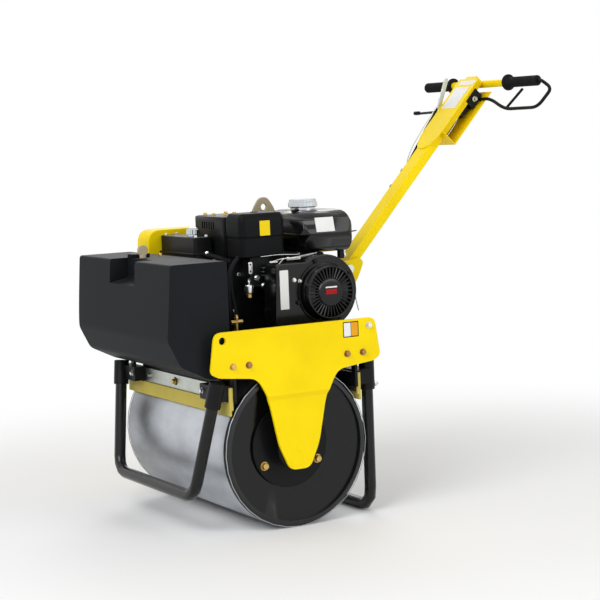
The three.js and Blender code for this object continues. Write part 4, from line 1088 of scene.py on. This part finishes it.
def build_grip(node, sign):
    """A rubber grip with a flange at its inner end and ribs along it."""
    low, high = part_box(node)
    start = Vector((low.x if sign > 0 else high.x, (low.y + high.y) / 2, (low.z + high.z) / 2))
    flange, end = (high.z - low.z) / (2 * MM), (high.x - low.x) / MM
    crest, groove, pitch, ribs, first = 15, 14.1, 5, 24, 14
    profile = [(0, 0), (flange - 2, 0), (flange, 2), (flange, 6), (flange - 2, 8), (17, 9), (crest, 12)]
    for i in range(ribs):
        h = first + i * pitch
        profile += [(crest, h), (groove, h + 1), (groove, h + 2.4), (crest, h + 3.4)]
    profile += [(crest, end - 3), (crest - 2.5, end + 0.5), (0, end + 1)]
    rubber = Maker().turned(mm(*profile), start, (sign, 0, 0), 40)
    rubber.finish(f"{node}_ribbed", node, "rubber", (node,), 25)


def build_console():
    edge = 0.8 * MM
    skin("console_cover", "yellow", edge)
    skin("console_box", "yellow", edge)
    skin("travel_bail", "black", sharp=ROUND)
    skin("throttle_lever", "zinc", 0.7 * MM)
    skin("travel_lever", "black", sharp=ROUND)
    skin("throttle_cable", "rubber", sharp=60)
    place = handle_place()
    outwards = place.to_3x3() @ Z
    labels = (("console_film", (-2, 626), (66, 82)), ("console_top_film", (4, 684), (72, 16)))
    for name, (x, along), size in labels:
        film(name, "console_cover", "white", outwards, place @ Vector((x, along, COVER_TOP)), size)
    build_console_works(place)
    build_lever_trim(place)


def build_console_works(place):
    """What shows in the console's open side."""
    works = Maker()
    works.block((-24, 628, -38), (26, 682, -3), 2, place)
    works.block((-16, 590, -34), (12, 630, -12), 2, place)
    works.finish("console_works", "console_box", "iron")
    rod = Maker()
    rod.turned([(0, 0), (8, 0), (8, 8), (5, 10), (5, 16), (0, 16)], (0, 0, 0), RIGHT, 24)
    rod.bm.transform(place @ Matrix.Translation((24, 652, -20)))
    route = ((2, 520, -30), (4, 560, -28), (0, 596, -24))
    rod.tube(through([place @ Vector(p) for p in route]), 2.5 * MM)
    rod.finish("console_rod", "console_box", "zinc")


def build_lever_trim(place):
    """The throttle's rod, its bolt and its cable straps, and the travel lever's tip."""
    route = [(-50, 604, 27), (-51, 560, 25), (-50.5, 500, 22)]
    route += [(-44, 440, 19.5), (-34, 400, 16), (-28.5, 380, 11)]
    pipe("throttle_rod", "throttle_cable", "zinc", [place @ Vector(p) for p in route], 1.4)
    bolts("lever_bolt", "throttle_lever", "bright", [place @ Vector((-51.3, 611, 28))], LEFT, 10 * MM)
    straps, width = Maker(), 10
    for along in (290, 350):
        straps.block((-33.5, along, -2), (-24.5, along + width, 12), 0.6, place)
    straps.finish("cable_straps", "handle_tube", "rubber")
    low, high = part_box("travel_lever")
    at = Vector((low.x, (low.y + high.y) / 2, (low.z + high.z) / 2))
    tip = mm((0, -1), (5.4, -1), (5.8, 3), (5.8, 22), (4.4, 26), (0, 26))
    Maker().turned(tip, at, RIGHT, 20).finish("travel_lever_tip", "travel_lever", "rubber")


# ---------------------------------------------------------------- stage
def seen_rays(shade):
    """1 where a surface is seen, mirrored or looked through to, 0 where it only gives light."""
    kinds = ("Is Camera Ray", "Is Glossy Ray", "Is Transmission Ray")
    seen, mirrored, refracted = (shade.node("ShaderNodeLightPath", output=kind) for kind in kinds)
    return seen.either(mirrored).either(refracted)


def pale_floor():
    """Pale near the machine, where its shadow falls, and plain white farther out."""
    stage = bpy.context.scene.roller_stage
    shade = Shade("pale_floor")
    cloud = shade.noise(scale=0.6, detail=2.0, rough=0.5)
    shade.set("Base Color", shade.blend(cloud, (0.9, 0.9, 0.9), (0.94, 0.94, 0.94)))
    shade.set("Roughness", 0.9)
    shade.set("Specular IOR Level", 0.1)
    flat = shade.node("ShaderNodeVectorMath", {"operation": "MULTIPLY"}, (shade.place, (1, 1, 0)))
    reach = shade.node("ShaderNodeVectorMath", {"operation": "LENGTH"}, (flat,), "Value")
    away = reach.step(stage.shadow_reach, stage.white_reach) * seen_rays(shade)
    white = shade.node("ShaderNodeEmission", {}, {"Color": (1, 1, 1), "Strength": 1.0})
    paint = Wire(shade, shade.shader.outputs[0])
    mixed = shade.node("ShaderNodeMixShader", {}, (away, paint, white))
    shade.feed(shade.tree.nodes["Material Output"].inputs["Surface"], mixed)
    return shade.material


def pale_room():
    """White to look at, and a soft light of the chosen strength on everything else."""
    world = bpy.data.worlds.new("room")
    bpy.context.scene.world = world
    world.use_nodes = True
    shade = Shade.over(world.node_tree)
    sky = bpy.context.scene.roller_stage.sky
    background = world.node_tree.nodes["Background"]
    shade.feed(background.inputs["Color"], (1, 1, 1))
    shade.feed(background.inputs["Strength"], sky + seen_rays(shade) * (1.0 - sky))


def set_lamps():
    """A large lamp in front and two smaller ones beside and behind."""
    stage = bpy.context.scene.roller_stage
    centre = Vector((0, -0.1, 0.5))
    lamps = (
        ("key", stage.key, (1.6, -3.4, 3.2), 2.6),
        ("fill", stage.fill, (3.8, 1.4, 1.8), 2.2),
        ("back", stage.fill, (-3.0, 1.5, 3.0), 2.2),
    )
    for name, power, place, size in lamps:
        lamp = bpy.data.lights.new(name, "AREA")
        lamp.energy = power
        lamp.shape = "SQUARE"
        lamp.size = size
        body = bpy.data.objects.new(name, lamp)
        body.location = place
        body.rotation_euler = (centre - Vector(place)).to_track_quat("-Z", "Y").to_euler()
        bpy.context.scene.collection.objects.link(body)


def set_camera():
    """The camera, turned by its azimuth, pitch and roll."""
    stage = bpy.context.scene.roller_stage
    eye = bpy.data.cameras.new("camera")
    eye.lens = stage.lens
    eye.sensor_width = 36.0
    eye.clip_end = 100.0
    camera = bpy.data.objects.new("camera", eye)
    a, e, r = stage.azimuth, stage.pitch, stage.roll
    ahead = Vector((-math.sin(a) * math.cos(e), math.cos(a) * math.cos(e), -math.sin(e)))
    level_right = ahead.cross(Z).normalized()
    level_up = level_right.cross(ahead)
    right = math.cos(r) * level_right + math.sin(r) * level_up
    up = math.cos(r) * level_up - math.sin(r) * level_right
    turn = Matrix((right, up, -ahead)).transposed().to_4x4()
    camera.matrix_world = Matrix.Translation((stage.distance_x, stage.distance_y, stage.height)) @ turn
    bpy.context.scene.collection.objects.link(camera)
    bpy.context.scene.camera = camera


def build_stage():
    reach = 30.0
    mesh = bpy.data.meshes.new("floor")
    corners = [(-reach, -reach, 0), (reach, -reach, 0), (reach, reach, 0), (-reach, reach, 0)]
    mesh.from_pydata(corners, [], [(0, 1, 2, 3)])
    floor = bpy.data.objects.new("floor", mesh)
    bpy.context.scene.collection.objects.link(floor)
    mesh.materials.append(pale_floor())
    pale_room()
    set_lamps()
    set_camera()
    bpy.context.scene.view_settings.view_transform = "Standard"


# ---------------------------------------------------------------- operators
class RollerStep:
    """What every step of the build shares."""

    bl_options = {"REGISTER", "UNDO"}

    def execute(self, context):
        self.build()
        return {"FINISHED"}


class ROLLER_OT_materials(RollerStep, Operator):
    """Mix the paints, plastics and metals"""

    bl_idname = "roller.materials"
    bl_label = "Materials"
    build = staticmethod(make_materials)


class ROLLER_OT_stage(RollerStep, Operator):
    """Set out the floor, the lamps and the camera"""

    bl_idname = "roller.stage"
    bl_label = "Stage"
    build = staticmethod(build_stage)


class ROLLER_OT_sheet_metal(RollerStep, Operator):
    """Make the side plates, the deck, the beams and the scrapers"""

    bl_idname = "roller.sheet_metal"
    bl_label = "Sheet metal"
    build = staticmethod(build_sheet_metal)


class ROLLER_OT_stands(RollerStep, Operator):
    """Make both stands and their clamps"""

    bl_idname = "roller.stands"
    bl_label = "Stands"
    build = staticmethod(build_stands)


class ROLLER_OT_drum(RollerStep, Operator):
    """Make the drum, its ends and its axles"""

    bl_idname = "roller.drum"
    bl_label = "Drum"
    build = staticmethod(build_drum)


class ROLLER_OT_water(RollerStep, Operator):
    """Make the water tank, its cap and tap, and the sprinkler"""

    bl_idname = "roller.water"
    bl_label = "Water system"
    build = staticmethod(build_water_system)


class ROLLER_OT_engine_block(RollerStep, Operator):
    """Make the crankcase, the cylinder and the carburettor"""

    bl_idname = "roller.engine_block"
    bl_label = "Engine block"
    build = staticmethod(build_engine_block)


class ROLLER_OT_engine_covers(RollerStep, Operator):
    """Make the fan shroud, the recoil starter, the air cleaner and the muffler"""

    bl_idname = "roller.engine_covers"
    bl_label = "Engine covers"
    build = staticmethod(build_engine_covers)


class ROLLER_OT_fuel(RollerStep, Operator):
    """Make the fuel tank and its cap"""

    bl_idname = "roller.fuel"
    bl_label = "Fuel tank"
    build = staticmethod(build_fuel_system)


class ROLLER_OT_drive(RollerStep, Operator):
    """Make the belt guard, its shaft, the oil tank and the lifting plate"""

    bl_idname = "roller.drive"
    bl_label = "Drive"
    build = staticmethod(build_drive)


class ROLLER_OT_handle(RollerStep, Operator):
    """Make the handle, its bracket and its grips"""

    bl_idname = "roller.handle"
    bl_label = "Handle"
    build = staticmethod(build_handle)


class ROLLER_OT_console(RollerStep, Operator):
    """Make the console, its levers and the travel bail"""

    bl_idname = "roller.console"
    bl_label = "Console"
    build = staticmethod(build_console)


STEPS = (
    ROLLER_OT_materials,
    ROLLER_OT_stage,
    ROLLER_OT_sheet_metal,
    ROLLER_OT_stands,
    ROLLER_OT_drum,
    ROLLER_OT_water,
    ROLLER_OT_engine_block,
    ROLLER_OT_engine_covers,
    ROLLER_OT_fuel,
    ROLLER_OT_drive,
    ROLLER_OT_handle,
    ROLLER_OT_console,
)
GROUPS = (
    (ROLLER_PG_finish, "roller_finish"),
    (ROLLER_PG_edges, "roller_edges"),
    (ROLLER_PG_stage, "roller_stage"),
)


class ROLLER_PT_panel(Panel):
    """The steps of the build and the sizes that they use"""

    bl_label = "Roller"
    bl_space_type = "VIEW_3D"
    bl_region_type = "UI"
    bl_category = "Roller"

    def draw(self, context):
        for group, name in GROUPS:
            box = self.layout.box()
            for key in group.__annotations__:
                box.prop(getattr(context.scene, name), key)
        for operator in STEPS:
            self.layout.operator(operator.bl_idname)


def register():
    for group, name in GROUPS:
        bpy.utils.register_class(group)
        setattr(bpy.types.Scene, name, PointerProperty(type=group))
    for operator in STEPS:
        bpy.utils.register_class(operator)
    bpy.utils.register_class(ROLLER_PT_panel)


def unregister():
    bpy.utils.unregister_class(ROLLER_PT_panel)
    for operator in reversed(STEPS):
        bpy.utils.unregister_class(operator)
    for group, name in reversed(GROUPS):
        delattr(bpy.types.Scene, name)
        bpy.utils.unregister_class(group)


def main():
    register()
    for operator in STEPS:
        category, name = operator.bl_idname.split(".")
        getattr(getattr(bpy.ops, category), name)()


if __name__ == "__main__":
    main()
